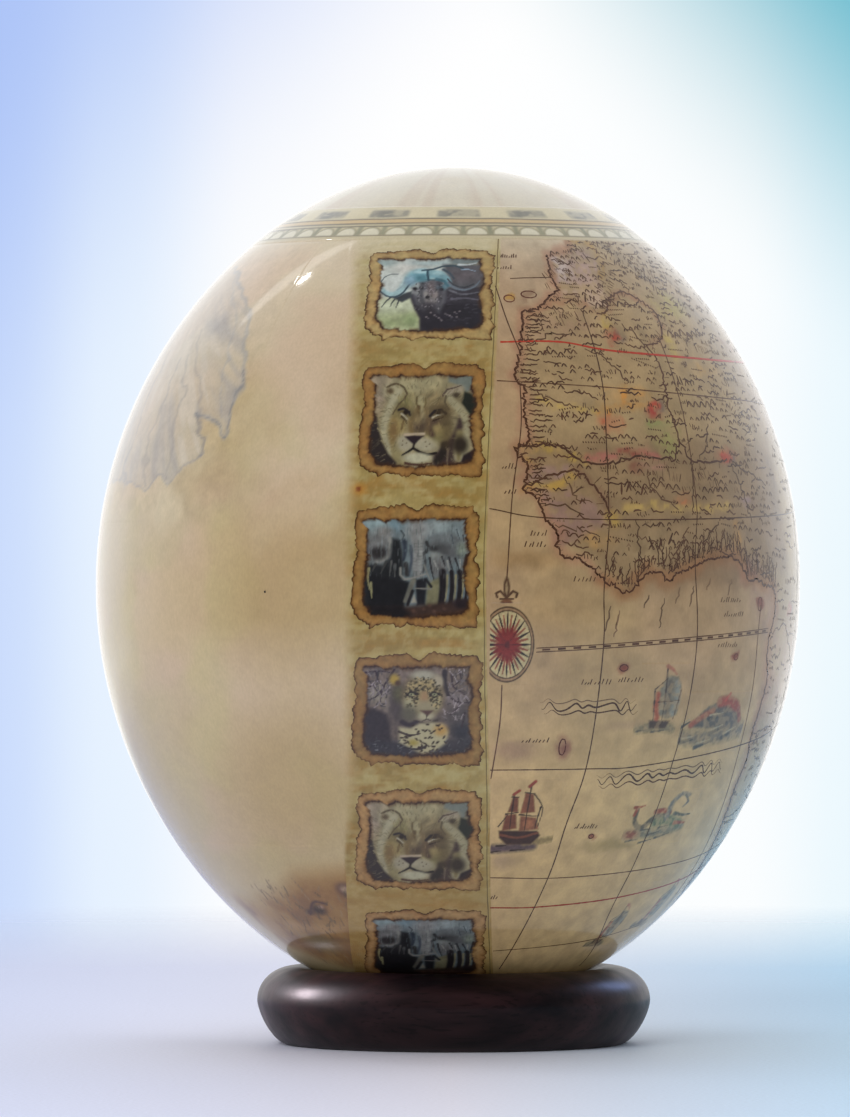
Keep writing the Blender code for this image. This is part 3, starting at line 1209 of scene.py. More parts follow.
def paint_lion(art: Canvas) -> None:
    """A lion's face, from the front, with a pale mane."""
    mane, pale, dark = (128, 117, 88), (150, 143, 114), (36, 30, 30)
    art.patch([(-12, -10), (12, -10), (12, 10), (-12, 10)], mane, 0.1)
    art.oval(-8, 5.5, 3, 4.2, (138, 124, 106), 0.7)
    art.oval(-1, 6.6, 5.6, 2.2, (142, 134, 102), 0.8)
    art.oval(-5.2, -2.2, 2.4, 5, (132, 116, 74), 0.8)
    art.oval(2.8, 2.6, 3.4, 2.8, (118, 104, 74), 0.8)
    art.oval(3, -2.8, 2.4, 2, (122, 112, 72), 0.8)
    art.oval(-4, 3, 2.2, 2.2, (120, 112, 72), 0.8)
    # the mane's pale locks on both sides
    art.stroke([(-5.6, 3.4), (-6.8, 0.8), (-7.4, -2.4), (-6.2, -6.6)], 1.9, pale, 0.7, end=1.1)
    art.stroke([(-5, -4), (-5, -6.4), (-3.6, -8.4)], 1.6, (128, 118, 82), 0.7)
    art.hair(-1.4, -1.2, 0.20, 71)
    # sky and dark bush behind it
    sky = [(4.6, 9), (10, 9), (9.4, 5.4), (8.1, 5.2), (7.5, 6.1), (6, 6.8), (4.9, 7.2)]
    art.patch(sky, (104, 110, 102), 0.4)
    art.patch([(7.9, 5.3), (9.2, 4.9), (10.6, 2.9), (9.9, 0.9), (8.9, 0.5), (7.4, 3)], (30, 33, 26), 0.35)
    left_bush = [(-10.6, 1.6), (-8.8, 0.8), (-8.4, -2), (-7.6, -4.6), (-6.5, -6.6), (-5, -8.2)]
    art.patch([*left_bush, (-4.6, -9.6), (-10.6, -9.6)], (40, 33, 32), 0.35)
    throat = [(7.1, 0.8), (7.9, -1.4), (6.9, -2.8), (6.2, -3.9), (5.8, -6.2), (6.6, -9.2), (2.4, -9.2)]
    art.patch([*throat, (1.9, -7.2), (3.9, -5.4), (5.2, -3.7), (6.2, -2)], (58, 45, 42), 0.5)
    art.stroke([(4.3, -5), (3.9, -6.6), (2.9, -7.9)], 1.5, (38, 32, 28), 0.7)
    art.stroke([(4.9, -5.8), (4.7, -8.6)], 0.5, (92, 78, 64), 0.7, end=0.2)
    lock = [(4.7, 4.9), (5.6, 3.3), (7.3, 1.6), (8.6, -0.8), (8.4, -4), (7.2, -7.4)]
    art.stroke(lock, 1.3, (144, 137, 108), 0.6, end=2.1)
    art.stroke([(7, -2.8), (6.9, -7.6)], 1.4, (116, 105, 72), 0.8, end=0.7)
    art.patch([(7.3, -8.2), (7.8, -6.9), (10.2, -5.6), (9.9, -7.6), (8.4, -8.8)], (36, 27, 28), 0.3)
    # ears
    art.oval(-5.6, 5.2, 1.9, 1.5, (148, 141, 112), 0.5)
    art.oval(-6.3, 5.4, 0.7, 0.6, (84, 70, 50), 0.7)
    ear_rim = [(-6.8, 6.2), (-5.2, 6.9), (-3.6, 6.1), (-3, 4.9), (-3.5, 3.9), (-4.7, 2.6), (-5.7, 0.9)]
    art.stroke(ear_rim, 0.42, (76, 63, 45), 0.6, end=0.25)
    art.stroke([(-4.4, 5.4), (-5.4, 4.4), (-6.2, 2.6)], 0.9, (156, 150, 122), 0.7)
    art.oval(6.1, 5.5, 1.7, 1, (140, 129, 108), 0.5, 20)
    art.strokes([[(3.8, 4.5), (4.6, 5.7), (5.9, 6), (7.2, 6.5)]], 0.42, (78, 64, 56))
    art.oval(6.4, 4.6, 0.7, 0.5, (62, 52, 40), 0.6)
    art.stroke([(4.4, 4.4), (4.2, 3.2), (5, 1.8)], 0.4, (84, 74, 56), 0.7, end=0.2)
    # brow, bridge and cheeks
    art.oval(-0.3, 3, 0.75, 1.3, (146, 138, 104), 0.6)
    art.stroke([(-1.1, 4.2), (-1.2, 3), (-0.8, 2)], 0.3, (92, 78, 50), 0.7)
    art.stroke([(0.5, 4), (0.6, 2.9), (0.3, 2.2)], 0.25, (100, 86, 56), 0.7)
    art.stroke([(-0.75, 2.3), (-0.8, 0.2)], 0.7, (84, 68, 44), 0.7, end=0.4)
    art.stroke([(-2.2, -0.2), (-2.6, -2.6)], 1.1, (136, 122, 84), 0.8)
    art.oval(-0.5, -1.6, 1.7, 1.3, (76, 62, 48), 0.8)
    art.oval(-1, -0.2, 0.8, 1, (118, 102, 72), 0.7)
    art.stroke([(1.4, -0.4), (1.3, -1.6), (1.9, -2.9)], 1.2, (70, 54, 44), 0.8)
    art.oval(2.4, -0.6, 1.5, 0.8, (74, 58, 48), 0.8, -18)
    art.oval(3.1, -2, 1, 1, (132, 116, 76), 0.8)
    art.oval(-5.5, -2.4, 0.8, 2.2, (112, 90, 56), 0.8)
    art.stroke([(-3.6, -0.4), (-4, -2)], 0.35, (96, 78, 48), 0.8)
    # eyes
    art.stroke([(-1.2, 1.6), (-2.2, -0.6), (-2, -2.8)], 0.9, (104, 84, 52), 0.9, strength=0.7)
    art.stroke([(0.6, 2), (1.2, 0.4), (1, -2.6)], 0.9, (104, 86, 58), 0.9, strength=0.6)
    art.oval(-3.4, 1.4, 1.6, 1.1, (90, 78, 52), 0.9, -18)
    art.oval(3, 1.2, 1.9, 1.3, (86, 72, 50), 0.9, 12)
    art.stroke([(-4.6, 1.7), (-3.7, 2), (-2.6, 1.4), (-2.4, 0.7)], 0.46, dark, 0.5)
    art.stroke([(-4.1, 1), (-3.4, 0.5), (-2.8, -0.2)], 0.30, (160, 154, 134), 0.6, end=0.15)
    art.oval(-3.2, 1.2, 0.5, 0.42, (34, 26, 20), 0.4)
    art.strokes([[(-4, 0.4), (-3.3, -0.2), (-3, -0.9)]], 0.32, (58, 46, 34))
    art.stroke([(1.4, 0.5), (2.3, 1.5), (3.6, 1.7), (4.4, 1)], 0.52, dark, 0.5)
    art.stroke([(1.9, 0.2), (2.8, 0.7), (4, 0.8)], 0.32, (160, 154, 134), 0.6, end=0.15)
    art.oval(2.9, 1.2, 0.6, 0.4, (34, 26, 20), 0.4)
    art.strokes([[(2, -0.4), (3.1, 0), (4, 0.3)]], 0.36, (48, 36, 28))
    # muzzle, nose, mouth and chin
    art.oval(-3.2, -4.6, 1.6, 1.7, (146, 139, 116), 0.5, 14)
    art.oval(0.4, -4.9, 2.3, 1.3, (152, 145, 120), 0.5, -8)
    art.dots(
        [(-3.7, -4.2), (-3, -4.6), (-3.8, -5), (0.6, -4.4), (1.4, -4.8), (0.8, -5.3)], 0.13, (96, 84, 66),
    )
    art.stroke([(-3.3, -3.1), (-1.6, -3), (0.3, -2.9)], 0.5, (164, 148, 124), 0.5)
    art.patch(
        [(-3.4, -3.4), (-1.5, -3.2), (0.3, -3.3), (-0.7, -4.1), (-1.5, -5), (-2.4, -4.3)], (38, 28, 32),
        0.2,
    )
    art.stroke([(-1.6, -4.8), (-1.7, -5.8)], 0.36, (30, 24, 24), 0.5)
    art.stroke([(-1.7, -5.6), (-2.6, -6.2), (-3.8, -6.9)], 0.46, (28, 24, 22), 0.5, end=0.3)
    art.stroke([(-1.7, -5.6), (-0.5, -6.3), (1, -6.8), (2.6, -6.5)], 0.5, (28, 24, 22), 0.5)
    art.oval(-0.9, -7.4, 2.7, 0.95, (162, 158, 132), 0.4)
    art.strokes([[(-3.2, -8.4), (-1, -8.7), (1.8, -8.4)]], 0.5, (66, 44, 36))
    chance = np.random.default_rng(73)
    for _ in range(420):
        lean, away = chance.uniform(0.0, 2.0 * math.pi), chance.uniform(2.6, 9.6)
        x, y = -0.9 + away * math.cos(lean), -0.9 + away * math.sin(lean)
        if -5.0 < x < 3.6 and -8.0 < y < 2.6:
            continue
        curl = lean + chance.uniform(-0.5, 0.5)
        stop = (x + 0.9 * math.cos(curl), y + 0.9 * math.sin(curl))
        tone = chance.choice([0.66, 0.8, 1.22])
        art.stroke([(x, y), stop], 0.2, (124 * tone, 114 * tone, 84 * tone), 0.8, end=0.08, strength=0.45)
    for _ in range(120):
        x, y = chance.uniform(-5.0, 4.4), chance.uniform(-3.0, 5.2)
        stop = (x + chance.uniform(-0.15, 0.15), y - chance.uniform(0.3, 0.8))
        tone = chance.choice([0.7, 1.2])
        art.stroke([(x, y), stop], 0.18, (122 * tone, 104 * tone, 70 * tone), 0.8, end=0.08, strength=0.35)
    art.strokes(
        [[(-9.6, 1.4), (-8.4, 0.2)], [(-8.6, -1.8), (-7.6, -3)], [(-7.8, -4.2), (-6.6, -5.2)]], 0.3, mane,
    )
    art.stroke([(3.9, 1.6), (4.8, -1.6), (4.4, -4.8)], 1.9, (72, 58, 38), 0.9, strength=0.6)
    art.oval(7.2, -5, 1.4, 1.6, (44, 36, 28), 0.6)
    art.speckle(0.8, 0.07, 72)


def paint_elephant(art: Canvas) -> None:
    """Elephants, head on, pale above and dark below, with thin white tusks."""
    grey, black = (96, 100, 100), (27, 27, 29)
    art.patch([(-12, -10), (12, -10), (12, 10), (-12, 10)], (92, 102, 104), 0.1)
    art.oval(-7.4, 7.2, 2.8, 1.7, (126, 144, 144), 0.7)
    art.oval(-3.4, 7.4, 1.9, 1.2, (104, 124, 130), 0.8)
    art.oval(4.6, 7.2, 2.9, 1.4, (128, 138, 136), 0.8)
    art.oval(8, 5, 1.7, 3.6, (112, 122, 122), 0.8)
    # the left ear, with its dark hollow
    art.oval(-7, 3.4, 2.5, 3.3, (102, 102, 100), 0.5)
    art.oval(-5.8, 6.2, 1.4, 0.9, (118, 116, 112), 0.8)
    art.stroke([(-4.9, 5), (-4.7, 3.3), (-5.4, 1.7), (-7.2, 1)], 0.8, (122, 122, 116), 0.7)
    art.oval(-7.1, 2.4, 1.7, 1.1, (44, 41, 41), 0.6, 6)
    art.stroke([(-9.4, 4.8), (-9.3, 2.2)], 0.8, (70, 68, 70), 0.8)
    # the lower half in shade
    shade = [(-10.6, 0.2), (-8, 0.4), (-6.2, 0.2), (-4.8, 1.6), (-4.4, 5), (-2.9, 4.7), (-2.4, 1)]
    art.patch([*shade, (-2.6, -2.4), (-1.2, -2.9), (-2.9, -9.6), (-10.6, -9.6)], (33, 34, 36), 0.5)
    art.patch([(-8.6, -1.2), (-3.4, -2.4), (-1.4, -2.9), (-3, -9.6), (-9.8, -9.6)], black, 0.6)
    art.strokes([[(-7.6, 0.4), (-8.2, -0.8)], [(-5.6, 0.8), (-6.6, -1.2)]], 0.5, (58, 58, 56))
    art.strokes([[(-4.6, 0.9), (-4.9, -1.6)], [(-3.9, 0.4), (-4, -1.8)]], 0.45, (76, 76, 74))
    art.strokes(
        [[(-8.9, -0.4), (-9.1, -2.2), (-8.7, -4.2)], [(-8.5, -3), (-8.3, -5.6)]], 0.55, (126, 122, 88),
    )
    # the head and the trunk
    art.oval(0.4, 6.4, 2.6, 1.9, (122, 126, 124), 0.7)
    art.stroke([(0.3, 6.6), (0.5, 3), (0.2, 0.2), (0.5, -1.2)], 2.7, (120, 120, 117), 0.5, end=1.9)
    art.stroke([(0.8, 5), (0.9, 2), (0.7, -0.6)], 0.7, (132, 134, 130), 0.9)
    art.stroke([(-2.2, 4.4), (-2, 2.8), (-2.3, 1.2)], 1, (48, 54, 62), 0.7, end=0.5)
    art.stroke([(-0.9, 3.6), (-0.8, 1), (-1.4, -1.6)], 0.5, (66, 72, 80), 0.7)
    art.stroke([(-1.9, 0.4), (-1.7, -1.4)], 0.8, (46, 44, 44), 0.7)
    art.strokes([[(-2.8, 6.4), (-2.2, 5.6), (-2.6, 4.8)]], 0.35, (58, 64, 66))
    for rung in np.arange(-0.8, 4.4, 0.55):
        art.stroke([(-0.4, rung), (0.6, rung - 0.15), (1.5, rung)], 0.16, (92, 92, 90), 0.9, strength=0.35)
    # the right ear and its folds
    art.patch(
        [(2.6, 5.4), (6, 6.2), (9.6, 4.6), (10.3, 2.6), (8.8, 0.4), (7.6, 1.6), (5.6, -1.6), (3.2, -1.8)],
        grey, 0.6,
    )
    art.oval(5, 3, 2.6, 1, (74, 74, 74), 0.8, -14)
    art.oval(3.3, 3.2, 0.8, 0.5, (50, 50, 50), 0.7)
    art.oval(3.8, 1.7, 1.3, 0.8, (124, 128, 122), 0.7, -20)
    art.oval(4.2, 0, 1.3, 1.6, (100, 98, 96), 0.7)
    art.oval(8.6, 3, 0.9, 1.2, (120, 128, 114), 0.8)
    folds = [[(2.6, 1.5), (2.9, -0.4), (3.4, -2.4)], [(4.9, 1.7), (5.5, 0.0)], [(6.2, 1.6), (6.9, -0.8)]]
    art.strokes([*folds, [(7.4, 1.4), (8.1, -0.6)], [(9.4, 2), (8.9, -1), (9.1, -3.6)]], 0.42, (44, 42, 44))
    art.strokes(
        [[(3.4, 1), (4.2, -0.6)], [(5.9, 1), (6.3, -0.9)], [(8.2, 1.2), (8.5, -0.8)]], 0.35,
        (136, 136, 130),
    )
    art.strokes([[(7.6, 6.6), (8.2, 4.8)], [(6.6, 5.6), (7, 4)], [(8.8, 5.6), (9, 4.4)]], 0.3, (66, 72, 76))
    art.stroke([(2, 4.3), (2.4, 3.4), (1.9, 2.6)], 0.6, (52, 52, 52), 0.6)
    art.stroke([(1.5, 2.4), (1.8, 0.6), (1.3, -1)], 0.45, (66, 66, 66), 0.7)
    # legs, trees and ground
    art.patch([(2.2, -2.9), (4.6, -1.9), (4.5, -6.9), (1.8, -7.2)], (112, 108, 82), 0.4)
    art.patch([(0, -2.4), (2.1, -2), (1.7, -6.9), (0.2, -7)], (31, 31, 35), 0.3)
    art.stroke([(-0.4, -2.4), (-1.2, -4.4), (-2, -6.2)], 1, (98, 96, 86), 0.6, end=0.7)
    art.stroke([(-0.6, -4.4), (-1.5, -6.8)], 0.6, (34, 32, 34), 0.5)
    art.patch([(-0.3, -5), (-0.9, -6.5), (0.2, -6.5)], (132, 128, 116), 0.2)
    for across, width in ((5, 1.3), (6.7, 0.85), (8.2, 0.95), (9.4, 0.5)):
        art.stroke([(across, -1), (across + 0.1, -3.8), (across - 0.3, -7.4)], width, (34, 30, 32), 0.4)
    for across in (5.9, 7.5, 8.9):
        art.stroke(
            [(across, -1.6), (across - 0.1, -4.4), (across - 0.4, -6.2)], 0.42, (120, 114, 88), 0.6,
            end=0.2,
        )
    art.patch([(-11, -7.4), (-2, -7.2), (3, -6.7), (10, -5.9), (11, -10), (-11, -10)], (58, 43, 37), 0.6)
    art.patch([(-11, -7), (-2.6, -7), (-1, -8.4), (-2, -10), (-11, -10)], (26, 23, 24), 0.7)
    art.oval(8.6, -6.6, 1.7, 0.9, (38, 30, 32), 0.6)
    art.dots([(1.6, -7.6), (3.4, -8), (5.4, -7.6), (-0.4, -7.9), (2.6, -7)], 0.3, (84, 62, 52), 0.8, 0.7)
    chance = np.random.default_rng(82)
    for _ in range(150):
        x, y = chance.uniform(-9.4, 9.6), chance.uniform(-1.6, 7.8)
        tone = chance.choice([0.72, 1.22]) * (96.0 + 3.0 * y)
        stop = (x + chance.uniform(-0.15, 0.15), y - chance.uniform(0.5, 1.6))
        art.stroke([(x, y), stop], 0.22, (tone * 0.93, tone, tone), 0.8, end=0.1, strength=0.4)
    # tusks
    ivory = (122, 121, 114)
    art.stroke([(-2.9, -0.3), (-2.9, -1.5), (-2.1, -2.3), (0, -1.9), (2, -1.3)], 0.46, ivory, 0.7, end=0.24)
    art.stroke([(1.6, 0.2), (2.2, -1.3), (2.9, -2.8)], 0.42, (112, 112, 106), 0.7, end=0.2)
    art.stroke([(-0.1, -3.9), (1.4, -4), (2.9, -4)], 0.24, (112, 110, 104), 0.7)
    art.stroke([(2, -2.4), (2.9, -3.6)], 0.5, (34, 34, 36), 0.5)
    art.speckle(0.9, 0.16, 81)


def paint_leopard(art: Canvas) -> None:
    """A leopard that looks out between bare branches."""
    dark, cream = (44, 38, 41), (160, 152, 120)
    chance = np.random.default_rng(92)
    art.patch([(-12, -10), (12, -10), (12, 10), (-12, 10)], (98, 86, 78), 0.1)
    art.speckle(1.3, 0.30, 91)
    art.oval(-7, 3.4, 2.4, 1.8, (126, 118, 104), 0.8)
    art.oval(-5.4, 1.2, 0.9, 1.6, (118, 108, 98), 0.8)
    art.patch([(-10.4, 0.7), (-8, 0.5), (-5.6, -0.6), (-5, -3), (-4.6, -9.6), (-10.4, -9.6)], dark, 0.6)
    art.patch([(-10.4, -6.2), (10.6, -5.4), (10.6, -9.8), (-10.4, -9.8)], (46, 44, 49), 0.8)
    art.oval(7.6, -1.8, 2.6, 3.8, (72, 66, 66), 0.8)
    art.oval(8, -4.2, 1.8, 1.6, (44, 44, 50), 0.7)
    art.oval(6.8, 2.4, 1.9, 1.2, (112, 102, 100), 0.7)
    # bare branches
    branches = [[(-7.6, 7.6), (-7.1, 5.7), (-6, 4.6)], [(-4.2, 8), (-5.4, 6), (-6.3, 4.5), (-6.8, 1.8)]]
    branches += [[(-9.4, 6.4), (-8.2, 5), (-7.4, 3.8)], [(-9.6, 7.4), (-6.6, 7.7), (-4.6, 7.3)]]
    branches += [[(-6.2, 4.4), (-7.8, 2.6), (-9.4, 2)], [(-8.2, 5.2), (-9.5, 3.9)], [(-5.2, 6.2), (-3.2, 7)]]
    branches += [[(6.2, 7), (6.6, 4.6), (8.6, 3.2), (9.2, 1.4)], [(7.6, 8), (7.9, 6), (6.8, 5)]]
    branches += [
        [(5.4, 3.4), (7, 1.8), (9.4, 1.6)], [(6, -0.6), (7.6, 0.8), (7.4, 2.6)], [(8.6, -0.4), (8, -3.4)],
    ]
    art.strokes(branches, 0.42, (52, 41, 46))
    for _ in range(150):
        side = chance.choice([-1.0, 1.0])
        x, y = side * chance.uniform(5.0, 9.6), chance.uniform(0.6 - 2.4 * (side > 0), 8.2)
        lean, length = chance.uniform(0.0, math.pi), chance.uniform(0.5, 1.3)
        shade = chance.uniform(48.0, 150.0)
        end = (x + length * math.cos(lean), y + length * math.sin(lean))
        art.stroke([(x, y), end], 0.24, (shade, shade * 0.92, shade * 0.92), 0.7, end=0.12)
    art.stroke([(5, 7.6), (4.9, 5.6), (5.5, 3.2)], 1, (42, 36, 40), 0.5, end=0.7)
    # its far side, in shadow
    art.oval(-3.6, 1.2, 1.6, 4.2, (66, 58, 57), 0.6)
    art.oval(-3.4, 3.4, 1, 1.6, (78, 74, 52), 0.8)
    # head
    art.oval(1, 3, 3.7, 4.2, (70, 60, 50), 0.3)
    art.oval(1, 3, 3.4, 3.8, (138, 122, 84), 0.4)
    art.speckle(0.5, 0.16, 93)
    art.oval(1.1, 6.9, 2.1, 0.9, (150, 146, 128), 0.6)
    art.oval(-4.2, 6.1, 0.9, 1, (152, 128, 58), 0.6)
    art.oval(-3.6, 5.4, 0.5, 0.5, (70, 50, 36), 0.7)
    art.oval(3.8, 5.8, 0.9, 1.2, (150, 140, 118), 0.5, 12)
    art.oval(-1.2, 1.4, 1.3, 1.5, (150, 144, 112), 0.7)
    art.oval(3.2, 1.8, 1, 1.6, (148, 140, 106), 0.7)
    art.oval(1.3, 2.4, 0.7, 1.6, (144, 114, 82), 0.9)
    art.oval(1.4, 0.8, 1.9, 1.2, (136, 126, 98), 0.6)
    art.oval(1.4, -1, 1.6, 0.8, (158, 152, 124), 0.6)
    for _ in range(330):
        lean, away = chance.uniform(-0.8, 4.1), chance.uniform(1.0, 3.7)
        x, y = 1.0 + 0.95 * away * math.cos(lean), 2.9 + 1.05 * away * math.sin(lean)
        if abs(x - 1.3) < 0.7 and y < 3.8:
            continue
        tone = chance.choice([0.34, 0.5, 0.62, 1.25])
        art.dots([(x, y)], chance.uniform(0.10, 0.2), (126 * tone, 112 * tone, 80 * tone), 0.5)
    for x in (-1.1, 3.1):
        art.stroke([(x - 0.8, 3.1), (x, 3.7), (x + 0.8, 3.2)], 0.42, (36, 29, 26), 0.5)
        art.stroke([(x - 0.6, 2.9), (x + 0.5, 2.8)], 0.22, (40, 32, 28), 0.6)
        art.oval(x, 3.2, 0.42, 0.26, (154, 156, 116), 0.5)
        art.dots([(x, 3.2)], 0.15, (28, 24, 22))
    art.patch([(0.5, 0.1), (2.9, 0.1), (1.8, -1)], (74, 52, 46), 0.25)
    art.stroke([(-0.6, -1.9), (1.7, -2.5), (3.6, -1.8)], 0.4, (58, 50, 44), 0.7)
    art.strokes(
        [[(1.7, -0.8), (1.7, -1.6)], [(1.7, -1.6), (0.8, -2)], [(1.7, -1.6), (2.6, -1.9)]], 0.26,
        (64, 54, 48),
    )
    art.oval(-1.6, -0.6, 1.4, 1.5, (84, 80, 66), 0.8)
    art.stroke([(-2.8, -2.2), (-1.6, -2.9), (-0.2, -2.4)], 1, (45, 38, 43), 0.6)
    # chest
    chest = [(-3.4, -3.2), (-1.2, -3.4), (0.2, -2.5), (2.6, -2.2), (4.6, -2.6), (5.6, -4.2), (5.2, -6.4)]
    art.patch([*chest, (3.4, -7.8), (1.2, -8.8), (-0.8, -7.8), (-3.4, -6.3)], cream, 0.5)
    art.oval(4.2, -3.8, 1.2, 1.1, (164, 130, 74), 0.7)
    art.oval(-0.8, -6.3, 0.9, 0.6, (142, 128, 66), 0.8)
    art.stroke([(-3.4, -4.1), (-1.4, -4.8), (0.4, -4.5)], 0.42, (40, 28, 32), 0.5, end=0.25)
    art.stroke([(-3.4, -6.6), (-2, -7.4), (0.6, -7.6), (1.6, -6.9)], 0.4, (42, 38, 40), 0.6)
    spots = [(-2.4, -5.8), (2.6, -5.3), (1, -3.8), (3, -4), (3.6, -6.2), (4.8, -5.2), (1.2, -6.4)]
    spots += [(2.3, -8), (-0.2, -5.6), (0.4, -7.4), (-1.2, -7), (3.6, -2.9), (2, -7), (4.4, -3.4)]
    for _ in range(46):
        x, y = chance.uniform(-3.2, 5.4), chance.uniform(-8.2, -2.6)
        if (x - 1.2) ** 2 / 18.0 + (y + 5.2) ** 2 / 9.5 < 1.0:
            spots.append((x, y))
    for x, y in spots:
        lean = chance.uniform(-60.0, 60.0)
        art.oval(x, y, chance.uniform(0.2, 0.42), 0.17, (46, 36, 30), 0.5, lean)
    # grass in front
    for _ in range(70):
        x, y = chance.uniform(-9.6, 9.8), chance.uniform(-8.8, -5.6)
        shade = chance.uniform(30.0, 104.0)
        if abs(x - 1.0) < 4.0 and y > -7.6:
            continue
        end = (x + chance.uniform(-0.7, 0.7), y + chance.uniform(-0.1, 0.6))
        art.stroke([(x, y), end], 0.22, (shade, shade, shade * 1.02), 0.7, end=0.1)


PAINTERS = {
    Animal.BUFFALO: paint_buffalo,
    Animal.LION: paint_lion,
    Animal.ELEPHANT: paint_elephant,
    Animal.LEOPARD: paint_leopard,
}


@dataclass(frozen=True)
class Picture:
    """One burnt-edged picture on the strip."""

    name: str
    animal: Animal
    across: float  # where its middle is, in millimetres across from the front line
    rise: float
    stretch: tuple[float, float] = (0.965, 1.0)  # its width and height, as shares of a picture's own
    border: Colour = (143, 107, 58)
    fade: float = 0.0  # how far its colours are washed out
    seed: int = 1
    columns: int = 126
    rows: int = 116
    lift: float = 0.06 * MM

    def build(self, form: EggForm, material: bpy.types.Material) -> bpy.types.Object:
        """Builds the picture.

        Args:
            form: The egg that it is stuck to.
            material: Its finish.

        Returns:
            The object, tied to the frame.
        """
        outer = TornEdge(OUTER_EDGE, 0.28, 100 + self.seed)
        inner = TornEdge(INNER_EDGE, 0.22, 200 + self.seed)
        wide, tall = 12.0, 11.0  # half the picture's size, in millimetres, before its edge is torn
        y, x = np.mgrid[-1 : 1 : self.rows * 1j, -1 : 1 : self.columns * 1j]
        x, y = x.ravel() * wide, y.ravel() * tall
        angle = np.arctan2(y, x)
        square = np.maximum(np.abs(x) / wide, np.abs(y) / tall)
        edge = outer.reach(angle)
        pull = 1.0 + square**3 * (edge / np.maximum(np.hypot(x, y) / square.clip(1e-6), 1e-6) - 1.0)
        x, y = x * pull, y * pull
        paint = self.paint(x, y, edge, inner.reach(np.arctan2(y, x)))
        rise = self.rise + y * self.stretch[1]
        turn = (self.across + x * self.stretch[0]) / form.girth(rise)
        shape = (self.rows, self.columns)
        sheet = Sheet(form, self.name, turn.reshape(shape), rise.reshape(shape), self.lift, (False, False))
        return sheet.make(paint, material)

    def paint(self, x: np.ndarray, y: np.ndarray, edge: np.ndarray, window: np.ndarray) -> np.ndarray:
        """Paints the border and the animal.

        Args:
            x: How far right of the middle each point is, in millimetres.
            y: How far above it.
            edge: How far the torn outer edge is from the middle, in each point's direction.
            window: How far the picture's own edge is from the middle, in each point's direction.

        Returns:
            One colour a point.
        """
        away = np.hypot(x, y)
        places = np.column_stack([x, y])
        border = Canvas(x, y, self.border)
        redder = np.asarray(self.border) * (0.98, 0.93, 0.88)
        yellower = np.asarray(self.border) * (1.0, 1.05, 1.08)
        border.lay(0.6 * ease(0.46, 0.66, cloud(places, 4.0, 300 + self.seed)), redder)
        border.lay(0.6 * ease(0.46, 0.66, cloud(places, 3.0, 320 + self.seed)), yellower)
        border.speckle(0.7, 0.13, 340 + self.seed)
        scorch = cloud(places, 1.3, 380 + self.seed, 2)
        near = np.minimum(edge - away, away - window)
        border.lay(0.55 * ease(1.3, 0.1, near) * ease(0.3, 0.7, scorch), (104, 70, 34))
        art = Canvas(x, y, self.border)
        PAINTERS[self.animal](art)
        if self.fade:
            art.lay(np.full(len(x), self.fade), (150, 140, 112))
        border.lay(ease(-0.12, 0.16, window - away), art.rgb)
        breaks = ease(0.34, 0.62, cloud(places, 1.5, 360 + self.seed, 3))
        gap = np.abs(away - window)
        border.lay(0.5 * ease(0.9, 0.1, gap) * breaks, (72, 44, 24))
        border.lay((0.35 + 0.6 * breaks) * ease(0.34, 0.08, gap), (50, 32, 22))
        rim = edge - away
        border.lay(0.55 * ease(0.85, 0.1, rim) * breaks, (88, 54, 24))
        border.lay((0.45 + 0.5 * breaks) * ease(0.40, 0.08, rim), (60, 38, 18))
        return border.rgb


def picture_strip() -> list[Picture]:
    """The six pictures, from the top down."""
    return [
        Picture("picture_buffalo", Animal.BUFFALO, -3.9, 169.9, (0.98, 0.98), (164, 138, 88), seed=1),
        Picture("picture_lion_upper", Animal.LION, -4.9, 143.2, (0.945, 1.0), seed=2),
        Picture("picture_elephant_upper", Animal.ELEPHANT, -5.9, 116.1, (0.955, 1.0), seed=3),
        Picture("picture_leopard", Animal.LEOPARD, -5.6, 90.0, (0.985, 0.95), (132, 101, 58), seed=4),
        Picture("picture_lion_lower", Animal.LION, -5.6, 63.8, (0.965, 1.0), (156, 121, 76), 0.05, 5),
        Picture("picture_elephant_lower", Animal.ELEPHANT, -4.9, 36.9, (0.955, 1.0), (162, 126, 82), seed=6),
    ]


# ---------------------------------------------------------------- the old-style map

INK: Colour = (82, 56, 40)
FAINT_INK: Colour = (112, 88, 66)
RED_INK: Colour = (158, 52, 36)

